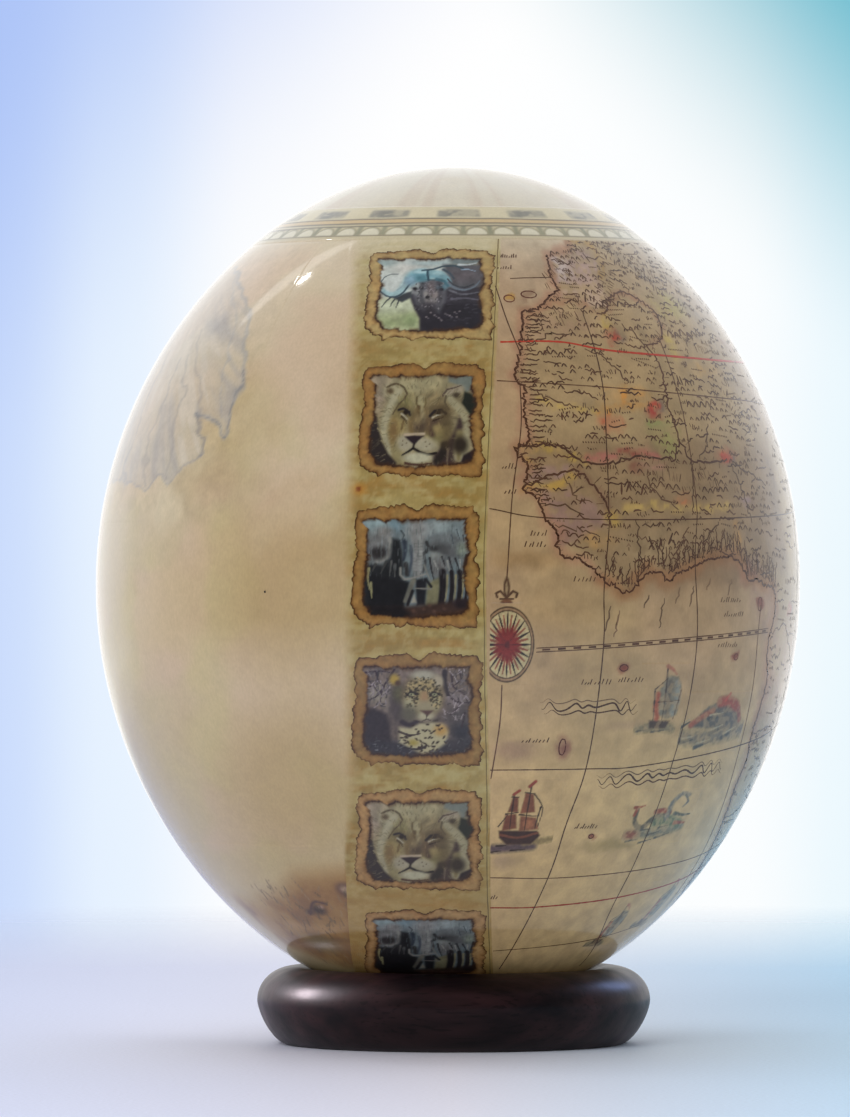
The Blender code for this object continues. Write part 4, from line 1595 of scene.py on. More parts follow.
WEST_COAST = (
    (33.7, 186), (32.9, 182), (25.2, 179.5), (24.6, 177), (23.9, 173.8), (24.4, 170.6),
    (21.8, 168.9), (18.6, 166.2), (15.2, 165.4), (14.6, 162.6), (13.9, 160.1), (13.1, 156),
    (12, 152.4), (12.2, 150.4), (13.3, 149.5), (13.1, 146), (13, 143), (13.5, 139),
    (11.4, 138), (11.1, 136.6), (12.7, 134.6), (12.5, 132), (12, 130.3), (14.2, 128.3),
    (15, 126.2), (15.6, 124.7), (17.6, 121.8), (17.2, 120), (18.7, 117.8), (20.6, 117.4),
    (22.4, 116.2), (24.4, 114.6), (25.2, 113.4),
)
SOUTH_COAST = (
    (25.2, 113.4), (27, 112.6), (28.6, 111.4), (30.4, 112.2), (31.8, 114), (34.6, 115.1),
    (37.1, 113.7), (38.6, 114.6), (41.1, 115.4), (44.7, 117), (48.4, 117.6), (52, 117.7),
    (54.8, 115.9), (56.4, 113.4), (59, 113.8), (62.4, 112.6), (65.4, 112), (66.4, 108),
    (64.9, 103.6), (64.7, 100.2), (66.4, 95.2), (65.9, 90), (65.7, 84.5), (67.4, 79.8), (67.2, 74.3),
    (70, 67.4), (73.4, 60.6), (76, 54.2), (80.4, 49.2), (87, 46.2), (93.6, 48.2), (99.4, 53.4),
    (104, 60), (109.6, 65.2), (113, 71.2), (112.4, 78.6), (116.4, 85.4), (121.6, 90.6),
    (122.8, 98), (126.8, 105.2), (133.4, 111.6), (140.2, 118.8), (143.6, 126.6), (139, 129.8),
    (131.6, 130.2), (128, 136.2), (124.8, 144.8), (121.8, 153.6), (119.6, 162), (123.2, 168.6),
)
LAND = (*WEST_COAST, *SOUTH_COAST[1:], (131, 176), (140, 186))


@dataclass(frozen=True)
class MapPrint:
    """An old-style map: land on the upper part, sea with ships and creatures under it."""

    form: EggForm
    grounds: Grounds

    def paint(self, turn: np.ndarray, rise: np.ndarray) -> np.ndarray:
        """The map's washes of colour.

        Args:
            turn: The places' turns.
            rise: The places' rises.

        Returns:
            One colour a row.
        """
        art = Canvas(turn, rise, self.grounds.paint(turn, rise))
        spots = np.column_stack([turn, rise])
        drift = cloud(spots, 2.2, 501, 3) - 0.5, cloud(spots, 2.2, 502, 3) - 0.5
        whole = Canvas(turn + 2.0 * drift[0], rise + 2.0 * drift[1], art.rgb.copy())
        whole.patch(LAND, (154, 131, 92), 0.5, 0.66)
        whole.patch(
            [(13, 134), (20, 121), (27, 114.5), (34, 112.5), (50, 112), (72, 116), (72, 139), (12, 139)],
            (112, 86, 62), 2, 0.44,
        )
        tinted = Canvas(whole.x, whole.y, whole.rgb.copy())
        self.regions(tinted)
        whole.lay(0.3 + 0.6 * ease(0.38, 0.6, cloud(spots, 1.3, 504, 3)), tinted.rgb)
        whole.patch([(140, 186), (66, 186), (68, 171), (84, 168), (140, 168)], (188, 174, 148), 4, 0.5)
        self.coast_tint(whole)
        self.seas(whole)
        whole.speckle(2.6, 0.10, 503)
        inside = ease(0.0, 1.2, turn * self.form.girth(rise) - self.grounds.strip_right(rise))
        fade = ease(191.0, 182.0, rise) * ease(self.grounds.map_right, self.grounds.map_right - 3.0, turn)
        art.lay(inside * fade, whole.rgb)
        return art.rgb

    def regions(self, art: Canvas) -> None:
        """Tints the kingdoms and the marks inside them."""
        ochre, brown = (164, 134, 70), (136, 98, 68)
        art.patch([(25.7, 179.4), (38.8, 182), (39.8, 176), (35.5, 171), (23.6, 172)], (166, 140, 128), 1.2)
        art.oval(27.4, 176.4, 2.6, 3.2, (188, 172, 168), 0.8)
        art.patch(
            [(22, 170), (36, 171.6), (37.4, 168), (34, 166.6), (31, 165.8), (25, 168.6)], (176, 150, 128),
            1,
        )
        art.stroke(
            [(33.4, 185.5), (36, 184), (41, 182.7), (40.8, 178.3), (38, 174.2)], 1.7, (160, 128, 72), 0.8,
        )
        bound = [
            (15.5, 163.8), (19, 166.2), (24, 168), (28.4, 168.1), (30.4, 165.9), (32, 164.9), (35, 165.9),
            (37.6, 168.9), (42.6, 170.2), (48.7, 165.7), (47, 160.2), (43.2, 158.4),
        ]
        art.stroke(bound, 1.7, (152, 112, 82), 0.9, strength=0.8)
        art.patch([(15, 163), (24, 167), (30, 165), (30, 160), (15, 159)], (162, 130, 104), 1.8, 0.6)
        art.stroke([(44, 186), (52, 176), (62, 168), (73, 162)], 2.4, (150, 132, 104), 1)
        art.oval(55.4, 167.4, 5.4, 2.8, (166, 152, 84), 0.9)
        art.oval(48.8, 158.6, 1.4, 2.4, (174, 152, 76), 0.8)
        art.oval(56, 153.6, 5.2, 1.3, (178, 142, 84), 0.9)
        art.oval(33.1, 162.6, 0.9, 2.2, (176, 150, 76), 0.9)
        art.oval(33.4, 147.6, 3.6, 1.8, (196, 134, 62), 0.9)
        art.oval(38.3, 144.8, 1.7, 1.1, (150, 50, 42), 0.7)
        art.oval(38.6, 141.8, 2.2, 1.3, (128, 142, 78), 0.8)
        art.oval(33.7, 160, 1.6, 1.5, (158, 58, 46), 0.7)
        art.oval(54.4, 136.6, 2.4, 1.2, (180, 84, 50), 0.8)
        art.oval(27.8, 144.7, 1.7, 1.4, (188, 134, 66), 0.8)
        art.oval(28.6, 142.4, 2.2, 1.5, (172, 76, 50), 0.8)
        art.stroke([(15.6, 147.4), (20, 145.8), (26, 145)], 1.1, (176, 148, 84), 0.9)
        art.patch([(35.6, 141), (43, 141.2), (41.4, 136), (38, 136)], (144, 136, 82), 1.2)
        river = [(11.4, 137.6), (16.2, 138), (20.2, 136.7), (22.9, 134.9)]
        art.stroke(river, 1.5, ochre, 0.8)
        art.oval(22.4, 135.4, 1.6, 1, (176, 144, 72), 0.9)
        art.stroke([(12, 136.6), (13.2, 135.2), (13.8, 133.4)], 1.2, (170, 138, 68), 0.9)
        art.stroke([(23.6, 135.6), (27.2, 136.1), (31.4, 137.2), (37.2, 136.6)], 1.5, (160, 98, 84), 0.9)
        art.patch([(12.8, 134.2), (20.7, 134.4), (19.4, 132.7), (12.8, 131)], (146, 116, 104), 0.7)
        art.stroke([(12.2, 129.9), (17, 130.7), (21, 133)], 1.6, (170, 136, 66), 0.8)
        mauve = [
            (14.4, 129.2), (19.7, 130.3), (25, 127.6), (26.4, 124.4), (22.7, 121.3), (17.8, 119.4),
            (16, 124.4),
        ]
        art.patch(mauve, (138, 108, 94), 1)
        art.oval(24.4, 121, 2.4, 1.4, (168, 130, 78), 0.9)
        art.stroke([(20.9, 133.4), (23.9, 130.9), (26.4, 126.5), (26.7, 123.6)], 1.2, (128, 98, 72), 0.8)
        art.stroke([(29.6, 126.2), (34, 127.3), (40, 126.6), (52, 127.2)], 1.5, (178, 148, 84), 0.9)
        art.oval(26.9, 124.6, 1.2, 1.3, ochre, 0.8)
        art.oval(31.6, 137, 2.2, 0.9, (128, 62, 48), 0.7)
        art.oval(32, 134.2, 1.4, 1.3, (122, 80, 60), 0.7)
        art.oval(36, 134.6, 2.4, 0.9, (158, 116, 96), 0.8)
        art.oval(41.5, 128.4, 1.5, 0.9, (172, 108, 70), 0.8)
        art.oval(58, 128.2, 2, 1, (140, 116, 124), 0.8)
        art.oval(57.4, 115, 3.2, 2.2, (134, 102, 98), 0.7)
        art.stroke([(53.4, 124.4), (54, 118.8)], 1.4, (176, 128, 66), 0.9)
        art.patch(
            [(55, 113.4), (66, 112.4), (69, 100), (69, 84), (65.7, 84.5), (64.7, 100)], (150, 118, 98), 1.8,
            0.7,
        )
        for turn, rise, wide, tall, tone in (
            (44.6, 121.4, 7.0, 3.4, (142, 118, 88)), (33.6, 118.8, 4.4, 3.2, (164, 140, 102)),
            (64.0, 124.0, 7.0, 5.0, (148, 124, 100)), (62.0, 142.0, 7.0, 5.0, (166, 144, 112)),
            (82.0, 150.0, 11.0, 9.0, (168, 138, 124)), (100.0, 138.0, 12.0, 8.0, (172, 156, 98)),
            (84.0, 122.0, 10.0, 8.0, (172, 146, 90)), (76.0, 96.0, 8.0, 9.0, (168, 128, 106)),
            (104.0, 104.0, 11.0, 10.0, (158, 150, 100)), (88.0, 72.0, 11.0, 9.0, (170, 140, 90)),
            (122.0, 126.0, 9.0, 7.0, (172, 128, 112)), (80.0, 172.0, 12.0, 5.0, (168, 142, 118)),
        ):
            art.oval(turn, rise, wide, tall, tone, 0.9, strength=0.65)
        for bound in (
            [(70, 160), (82, 158), (92, 162), (104, 156), (118, 158)],
            [(76, 134), (88, 130), (98, 132), (112, 126), (126, 124)],
            [(78, 112), (90, 108), (100, 114), (114, 112)],
            [(70, 84), (82, 88), (94, 84), (106, 88), (116, 86)],
            [(92, 162), (90, 148), (88, 130)], [(98, 132), (96, 120), (90, 108), (92, 96), (94, 84)],
        ):
            art.stroke(bound, 2, ochre if bound[0][0] > 71 else brown, 0.8, strength=0.7)
        art.oval(92, 96, 3.6, 4.4, (104, 116, 112), 0.25)
        art.oval(106, 95, 2.6, 3.4, (104, 116, 112), 0.25)
        for turn, rise in (
            (34.2, 160), (38.9, 145.9), (54.2, 136.2), (86, 140), (100, 122), (74, 108), (112, 140),
        ):
            art.oval(turn + 1.3, rise - 0.2, 1.6, 1.4, (116, 98, 84), 0.7)
            art.oval(turn, rise, 1.4, 0.9, (170, 66, 48), 0.5)

    def coast_tint(self, art: Canvas) -> None:
        """Runs a soft brown tint along the inside of the coasts."""
        art.stroke(WEST_COAST, 2.2, (152, 106, 82), 0.95, strength=0.55)
        art.stroke(SOUTH_COAST[:18], 2.8, (140, 96, 62), 0.95, strength=0.7)
        art.stroke(SOUTH_COAST[17:], 2.6, (148, 108, 76), 0.95, strength=0.65)

    def seas(self, art: Canvas) -> None:
        """Paints the islands and the stains on the sea."""
        art.oval(12, 117.4, 5, 1.7, (150, 118, 78), 0.9, strength=0.7)
        art.oval(11, 82.6, 3.6, 1.6, (152, 122, 96), 0.9, strength=0.8)
        art.oval(10.6, 59.4, 3, 1.4, (146, 122, 98), 0.9, strength=0.6)
        art.oval(31.4, 87.2, 4, 0.9, (158, 130, 98), 0.9, strength=0.7)
        art.oval(35, 62.6, 6, 1.2, (152, 130, 84), 0.9, strength=0.7)
        for turn, rise, size in (
            (29.4, 97.8, 1.1), (54.2, 99.6, 0.9), (29.2, 64.9, 0.7), (60.4, 109.2, 0.9),
            (128, 84, 1), (138, 98, 1.1), (133, 62, 0.9), (118, 50, 0.9),
        ):
            art.oval(turn, rise, size, size * 0.8, (122, 64, 48), 0.6)
        art.oval(19.7, 83.1, 1, 1.9, (140, 96, 76), 0.7)
        art.oval(12.6, 168.4, 1.3, 0.9, (176, 136, 74), 0.4)
        art.oval(17.2, 169.4, 1.9, 0.8, (150, 122, 96), 0.4, 35)

    def sheets(self, material: bpy.types.Material) -> None:
        """Lays the map's paper in two sheets, the finer one at the front."""
        rises = (26.0, 186.2)
        rise = np.linspace(*rises, 370)
        left = (self.grounds.strip_right(rise) - 0.35) / self.form.girth(rise)
        split = 80.0
        front = Sheet.between(self.form, "map_front", (left, split), rises, (370, 200), 0.03 * MM)
        front.make(self.paint(*front.flat()), material)
        rear = Sheet.between(self.form, "map_rear", (split, 149.5), rises, (210, 110), 0.03 * MM)
        rear.make(self.paint(*rear.flat()), material)

    # ---- ink

    def draw(self, material: bpy.types.Material) -> None:
        """Draws the map's ink."""
        pen = Pen(self.form, "map_ink", 0.055 * MM, 7)
        self.draw_grid(pen)
        self.draw_coast(pen)
        self.draw_rivers(pen)
        self.draw_country(pen)
        self.draw_sea_marks(pen)
        pen.make(material)

    @cached_property
    def land(self) -> np.ndarray:
        """Whether each half degree and half millimetre of the map is land."""
        rise, turn = np.mgrid[0:200:0.5, 0:160:0.5]
        spots = Canvas(turn.ravel(), rise.ravel(), (0.0, 0.0, 0.0))
        spots.patch(LAND, (1, 1, 1), 0.2)
        return spots.rgb[:, 0].reshape(rise.shape) > 0.5

    def inside(self, turn: float, rise: float) -> bool:
        """Whether a place is on land."""
        last = self.land.shape[1] - 1
        return bool(self.land[int(round(rise * 2)), min(int(round(turn * 2)), last)])

    def draw_grid(self, pen: Pen) -> None:
        """Draws the meridians, the parallels, the two red tropics and the scaled equator."""
        thin = 0.22
        for line in (
            [(8.4, 150.7), (28, 149.6), (48.6, 148.3), (64, 147.6), (90, 147), (122, 148)],
            [(6.4, 126.5), (16.2, 124.8), (40, 124.6), (70.8, 125.6), (96, 127), (125, 128)],
            [(7.2, 78.7), (25.6, 78.8), (35.8, 79.2), (62.2, 82.8), (88, 87), (118, 92), (148, 97)],
            [(8.8, 55.8), (25, 55.6), (46.3, 57), (68.4, 59.7), (96, 65), (124, 71), (148, 76)],
            [(13.3, 36.1), (30, 37.2), (46.1, 38.8), (66, 42.5)],
            [(13.6, 173.2), (17, 173.4), (24, 173.6)],
        ):
            pen.line(line, thin, INK, 0.9)
        for line in (
            [(9.9, 171.4), (11.4, 163.5), (13.4, 156)],
            [(12.6, 150.2), (12.2, 142), (10.6, 132), (9.9, 126), (9.1, 113.7)],
            [(8.6, 94.8), (8.5, 87.8), (7.4, 77)],
            [(28.6, 165), (28.8, 156), (28.4, 148), (27.2, 138), (26.4, 126)],
            [
                (26.4, 124.1), (25.2, 112.5), (25.4, 104), (25.2, 93.6), (24.7, 78.4), (23, 67.4),
                (22, 55.1), (18.1, 29.8),
            ],
            [(46, 160), (45.4, 148), (44.6, 136), (44.1, 125.8)],
            [
                (44.1, 125.8), (42.9, 116.6), (43.8, 102.8), (43.7, 89.9), (43.1, 76.9), (43.3, 59.3),
                (45.6, 45), (56.7, 29.9),
            ],
            [(60.6, 109), (60.4, 103), (61.1, 95.6), (63, 78.9), (68.6, 60.6), (76, 44), (84, 33)],
            [(84, 160), (82, 126), (80, 104), (82, 82), (88, 62), (98, 42)],
            [(108, 158), (104, 126), (101, 106), (103, 84), (110, 62), (120, 44)],
            [(126, 110), (124, 92), (130, 70), (140, 50)],
        ):
            pen.line(line, thin, INK, 0.9)
        pen.line(
            [(9.6, 158.7), (21.7, 158.8), (34.4, 156.9), (64.4, 155.6), (92, 156), (119, 158)], 0.42,
            RED_INK, 0.8,
        )
        pen.line([(9.7, 48.4), (22.5, 48.5), (45, 50.5), (71.5, 55), (86.6, 60.2)], 0.36, RED_INK, 0.8)
        pen.line([(86.6, 60.2), (104, 64.5), (126, 71), (148, 78)], 0.34, RED_INK, 0.8)
        equator = np.array([(14, 101.1), (24.8, 101.7), (42.2, 102.9), (64, 104.4)])
        for offset in (-0.36, 0.36):
            pen.line(equator + (0.0, offset), 0.18, INK, 1)
        for step in np.arange(15.0, 63.0, 2.6):
            level = float(np.interp(step, *equator.T))
            pen.line([(step, level), (step + 1.3, level + 0.08)], 0.36, INK, 1)

    def draw_coast(self, pen: Pen) -> None:
        """Draws the coasts, the hatching on their seaward side and the marks that run inland."""
        for coast in (WEST_COAST[2:], SOUTH_COAST):
            pen.line(coast, 0.42, (70, 44, 30), 0.9, 0.35, 0.2)
        for coast in (WEST_COAST[3:], SOUTH_COAST):
            path = smooth_path(coast, 0.62)
            ahead = np.gradient(path, axis=0)
            ahead /= np.hypot(*ahead.T)[:, None]
            seaward = np.column_stack([-ahead[:, 1], ahead[:, 0]])
            for spot, out in zip(path, seaward, strict=True):
                if pen.chance.random() < 0.55:
                    tip = spot + out * pen.chance.uniform(0.35, 0.9)
                    pen.line([tuple(spot), tuple(tip)], 0.18, FAINT_INK, 0.6)
        for spot in smooth_path(WEST_COAST[8:24], 0.86):
            start = spot + (pen.chance.uniform(0.5, 0.9), pen.chance.uniform(-0.2, 0.2))
            stop = start + (pen.chance.uniform(1.4, 4.0), pen.chance.uniform(-0.3, 0.3))
            pen.line([tuple(start), tuple(stop)], 0.3, INK, 0.5, 0.35, 0.14)
        for spot in smooth_path(SOUTH_COAST[0:17], 0.42):
            lean = pen.chance.uniform(0.1, 0.5)
            start = spot + (lean, pen.chance.uniform(0.8, 1.4))
            stop = start + (4.0 * lean * pen.chance.uniform(-0.5, 1.0), pen.chance.uniform(1.0, 4.8))
            pen.line([tuple(start), tuple(stop)], 0.24, INK, 0.5, 0.4, 0.16)

    def draw_rivers(self, pen: Pen) -> None:
        """Draws the rivers, each a line that wanders."""
        main = (
            [
                (11.4, 137.8), (16.2, 138.2), (20.2, 136.9), (22.9, 134.9), (27.2, 134.9), (32.7, 136),
                (37.2, 136.1), (40.5, 135.4),
            ],
            [(40.5, 135.4), (42.4, 138.6), (43.6, 138.2), (44.3, 135.8), (50.1, 135.3), (54.1, 136)],
            [(12.2, 130.5), (16.5, 132.5), (21, 133.4), (23.9, 130.9), (26.4, 126.5), (26.7, 123)],
            [(42.3, 138.4), (42.7, 142), (42, 147), (43.2, 154), (41.6, 158.6)],
            [(32, 165), (35, 166.1), (37.6, 169.1), (42.6, 170.4), (48.7, 165.9), (47, 160.2), (43.2, 158.4)],
        )
        for line in main:
            pen.line(line, 0.40, (84, 56, 40), 0.8, 0.5, 0.2)
            self.fringe(pen, line, 1.1, (0.4, 1.2))
        for line in (
            [(31.2, 124.4), (31.6, 121.5), (31.8, 118.4), (32.2, 115.2)],
            [(31.6, 121.6), (34.6, 120.4), (36.2, 118.2)],
            [(32.4, 123.4), (36, 124.2)], [(34.6, 133.8), (35, 130.2), (38, 127.7), (40, 126.4)],
            [(44.4, 135.6), (44, 131), (43, 126)], [(51.1, 142.6), (49, 138), (46.7, 135.8)],
            [(55, 135), (57, 130), (58.6, 124)], [(55.6, 135.4), (60, 133.6), (66, 131)],
            [(13.4, 149.6), (18, 147), (22.6, 145.6)], [(15.6, 158.4), (20, 160.4), (24.4, 160.6)],
            [(26.6, 157.4), (30.6, 155.4), (34.4, 150.6)], [(37.4, 163), (40.4, 159.6), (41.2, 156.4)],
            [(19.2, 131.8), (21, 128.4), (23.6, 127.6)], [(14.6, 127.4), (18.6, 127), (22, 125.4)],
            [(17, 123.6), (20.4, 123), (24.6, 121.4)], [(38, 115.2), (39.4, 119), (42, 123.2)],
            [(44.6, 117.4), (45.6, 121), (49, 124.2)], [(52, 117.8), (51, 122.4)],
            [(65.4, 104), (72, 105), (79, 99), (88.6, 97)], [(95.6, 97), (100, 96), (103.6, 95.4)],
            [(92, 100.2), (96, 112), (94, 126), (98, 142), (94, 158), (100, 172), (98, 184)],
            [(106.6, 98.2), (110, 112), (104, 128), (98, 142)], [(66, 84.6), (76, 86), (86, 80)],
            [(112.6, 79), (104, 82), (98, 76)], [(76.4, 54.4), (84, 62), (92, 66)],
            [(126.8, 105.2), (118, 108), (112, 114)], [(70, 67.4), (78, 70), (84, 74)],
        ):
            pen.line(line, 0.30, (88, 64, 46), 0.6, 0.6, 0.24)

    def fringe(self, pen: Pen, line: Outline, gap: float, reach: tuple[float, float]) -> None:
        """Draws short strokes to both sides of a line, as an old map shades a range or a bank.

        Args:
            pen: The pen.
            line: The turns and rises that the line runs through.
            gap: How far apart the strokes are, in millimetres.
            reach: How short and how long they are.
        """
        path = smooth_path(line, gap)
        ahead = np.gradient(path, axis=0)
        ahead /= np.maximum(np.hypot(*ahead.T), 1e-9)[:, None]
        for spot, (east, north) in zip(path, ahead, strict=True):
            away = pen.chance.choice([-1.0, 1.0]) * np.array([-north, east])
            start = spot + 0.35 * away
            stop = start + away * pen.chance.uniform(*reach) + pen.chance.normal(0.0, 0.25, 2)
            pen.line([tuple(start), tuple(stop)], 0.22, FAINT_INK if pen.chance.random() < 0.5 else INK, 0.5)

    def draw_country(self, pen: Pen) -> None:
        """Fills the land with scattered ranges, hills, tufts, trees and dotted tracks."""
        for line in (
            [(21.6, 172.4), (26, 174.4), (31, 178.6), (37.6, 180.4)], [(32.6, 166.6), (38, 172), (43, 178.4)],
            [(41.6, 183), (48, 177.6), (54.6, 173), (62.6, 166)], [(46, 184), (54, 178.6), (66, 171)],
            [(28.6, 166.8), (24, 165), (18.4, 163.4)], [(49, 164.4), (55, 160.2), (63, 158)],
            [(36.4, 131.8), (43, 131), (50, 132.4)], [(56.4, 150.2), (62, 146), (64.6, 139)],
            [(76, 168), (90, 170), (106, 168)], [(84, 146), (94, 142), (104, 146)],
            [(110, 150), (116, 138), (114, 128)], [(80, 116), (88, 114), (96, 118)],
            [(74, 92), (80, 90), (88, 92)], [(104, 90), (100, 78), (94, 70)],
        ):
            self.fringe(pen, line, 0.5, (0.6, 2.0))
        taken: set[tuple[int, int]] = set()
        for _ in range(9000):
            turn, rise = pen.chance.uniform(12.0, 142.0), pen.chance.uniform(50.0, 183.5)
            length, slope = pen.chance.uniform(0.8, 5.2), pen.chance.normal(-0.03, 0.14)
            spots = [(turn + step, rise + slope * step) for step in np.arange(0.0, length, 0.5)]
            cells = {(int(x / 0.8), int(y / 1.15)) for x, y in spots}
            if cells & taken or not all(self.inside(x, y) for x, y in spots):
                continue
            taken |= cells
            if turn > 68.0 and pen.chance.random() < 0.5:
                continue
            self.mark(pen, spots, pen.chance.random())
        for turn, rise, count, size in (
            (30.4, 130.2, 7, 1.3), (17.2, 156, 6, 1.1), (33.2, 166.6, 5, 1.6), (50, 160.4, 6, 1.7),
            (46.6, 129.6, 5, 1.1), (24, 139.2, 8, 1), (47.6, 146, 5, 1.4),
        ):
            for index in range(count):
                self.hill(pen, turn + index * 1.25 * size, rise + pen.chance.uniform(-0.4, 0.4), size)
        for turn, rise, size in (
            (29, 129.4, 2), (27.4, 168, 1.8), (46, 150, 1.7), (19.6, 143.2, 1.5), (33.6, 119.6, 2.4),
        ):
            self.dashes(pen, turn, rise, size)

    def mark(self, pen: Pen, spots: list[tuple[float, float]], choice: float) -> None:
        """Draws one small thing along a row of places.

        Args:
            pen: The pen.
            spots: The row of places.
            choice: From 0 to 1, which says what is drawn.
        """
        if choice < 0.34:
            ridge = [(x, y + pen.chance.uniform(-0.1, 0.75)) for x, y in spots]
            pen.line(ridge, 0.29, INK, 0.7, 0.3, 0.06)
        elif choice < 0.62:
            size = pen.chance.uniform(0.5, 1.0)
            self.dashes(pen, *spots[0], size, len(spots) // 2 + 2)
        elif choice < 0.84:
            for x, y in spots[::3]:
                self.hill(pen, x, y + pen.chance.uniform(-0.2, 0.2), pen.chance.uniform(0.5, 1.05))
        elif choice < 0.94:
            for x, y in spots:
                pen.line([(x, y), (x + 0.2, y + 0.1)], 0.31, INK, 1)
        else:
            self.tree(pen, *spots[0])

    def dashes(self, pen: Pen, turn: float, rise: float, size: float, count: int = 7) -> None:
        """Draws a tuft, a row of short leaning dashes.

        Args:
            pen: The pen.
            turn: Where the row starts.
            rise: How high it stands.
            size: How large it is, as a share.
            count: How many dashes it has.
        """
        tone = INK if pen.chance.random() < 0.85 else FAINT_INK
        for _ in range(count):
            height = size * pen.chance.uniform(0.3, 1.1)
            lean = size * pen.chance.uniform(-0.35, 0.45)
            foot = rise + size * pen.chance.uniform(-0.25, 0.25)
            pen.line([(turn, foot), (turn + lean, foot + height)], 0.31 * size**0.3, tone, 0.6)
            turn += size * pen.chance.uniform(0.3, 0.7)

    def hill(self, pen: Pen, turn: float, rise: float, size: float) -> None:
        """Draws one small hill, shaded on its right."""
        ridge = [(turn - 0.6 * size, rise), (turn, rise + 0.8 * size), (turn + 0.6 * size, rise)]
        pen.line(ridge, 0.28, INK, 0.6, 0.35)
        for share in (0.25, 0.6):
            top = (turn + share * 0.6 * size, rise + (1.0 - share) * 0.75 * size)
            pen.line([top, (top[0] + 0.08, rise + 0.05)], 0.22, FAINT_INK, 0.5)

    def tree(self, pen: Pen, turn: float, rise: float) -> None:
        """Draws one small tree."""
        pen.line([(turn, rise), (turn, rise + 0.6)], 0.22, INK, 0.8)
        pen.line(
            [(turn - 0.4, rise + 0.7), (turn, rise + 1.2), (turn + 0.4, rise + 0.7)], 0.45, FAINT_INK, 0.4,
        )

    def waves(self, pen: Pen, start: tuple[float, float], stop: tuple[float, float], tall: float) -> None:
        """Draws a plain scroll of waves where an old map would name its ocean.

        Args:
            pen: The pen.
            start: Where it starts.
            stop: Where it ends.
            tall: Half its height, in millimetres.
        """
        count = int(abs(stop[0] - start[0]) / 0.16)
        share = np.linspace(0.0, 1.0, count)
        turn = start[0] + share * (stop[0] - start[0])
        rise = start[1] + share * (stop[1] - start[1])
        swell = tall * (0.6 + 0.4 * np.sin(share * 9.0)) * np.sin(turn * 1.9 + 1.5 * np.sin(share * 14.0))
        pen.line(np.column_stack([turn, rise + swell]), 0.34, INK, 0.3, 0.3)
        pen.line(np.column_stack([turn + 0.5, rise - 1.1 + 0.55 * swell]), 0.26, INK, 0.2, 0.3)
        pen.line(np.column_stack([turn - 0.3, rise + 1.0 + 0.55 * swell]), 0.20, FAINT_INK, 0.2, 0.3)

    def draw_sea_marks(self, pen: Pen) -> None:
        """Draws the waves, the islands' outlines and the soundings off the coast."""
        self.waves(pen, (15.4, 90.8), (32.6, 90.7), 0.9)
        self.waves(pen, (27.4, 76.2), (58, 78.9), 0.9)
        self.waves(pen, (116, 77), (142, 84), 0.9)
        for turn, rise, wide, tall in (
            (29.4, 97.8, 0.8, 0.6), (19.7, 83.1, 0.6, 1.6), (29.2, 64.9, 0.55, 0.5), (12.6, 168.4, 1.2, 0.8),
            (17.2, 169.4, 1.8, 0.8), (54.2, 99.6, 0.6, 0.6), (60.4, 109.2, 0.7, 1.3), (128, 84, 0.9, 0.7),
            (138, 98, 1, 0.8), (133, 62, 0.8, 0.7), (118, 50, 0.8, 0.7), (134, 90, 2.4, 5.6),
        ):
            ring = [(turn + wide * math.cos(a), rise + tall * math.sin(a)) for a in np.linspace(0.3, 6.5, 9)]
            pen.line(ring, 0.24, (84, 44, 34), 0.7, 0.3)
        for turn, rise, length in (
            (8.6, 133.8, 2.6), (8.9, 129.2, 2), (13, 121.6, 2.4), (12, 119.6, 3.4), (20, 113.4, 3.4),
            (22, 94.8, 5), (12.4, 84, 5), (28.6, 95.2, 5), (50, 107, 5), (49, 101.4, 5),
            (25, 66.6, 5), (9.6, 50.6, 1.6), (12.4, 178.6, 4.6), (11, 175.6, 3.6), (49, 109.6, 5),
        ):
            stop = turn + length
            while turn < stop:
                height = pen.chance.uniform(0.3, 1.1)
                pen.line([(turn, rise), (turn + 0.3, rise + height)], 0.32, INK, 0.6)
                turn += pen.chance.uniform(0.45, 0.75)
        for turn, rise, drop in (
            (26.4, 109, 4.6), (28, 108.2, 4.8), (36.4, 110.4, 5.4), (33.4, 111, 2.4), (39.6, 112.4, 3),
            (42.6, 112.6, 3.8), (46.4, 114, 2.2), (51.6, 113.8, 3),
        ):
            pen.line([(turn, rise), (turn - 0.9, rise - drop)], 0.3, FAINT_INK, 0.6, 0.5, 0.16)


# ---------------------------------------------------------------- small pictures on the map


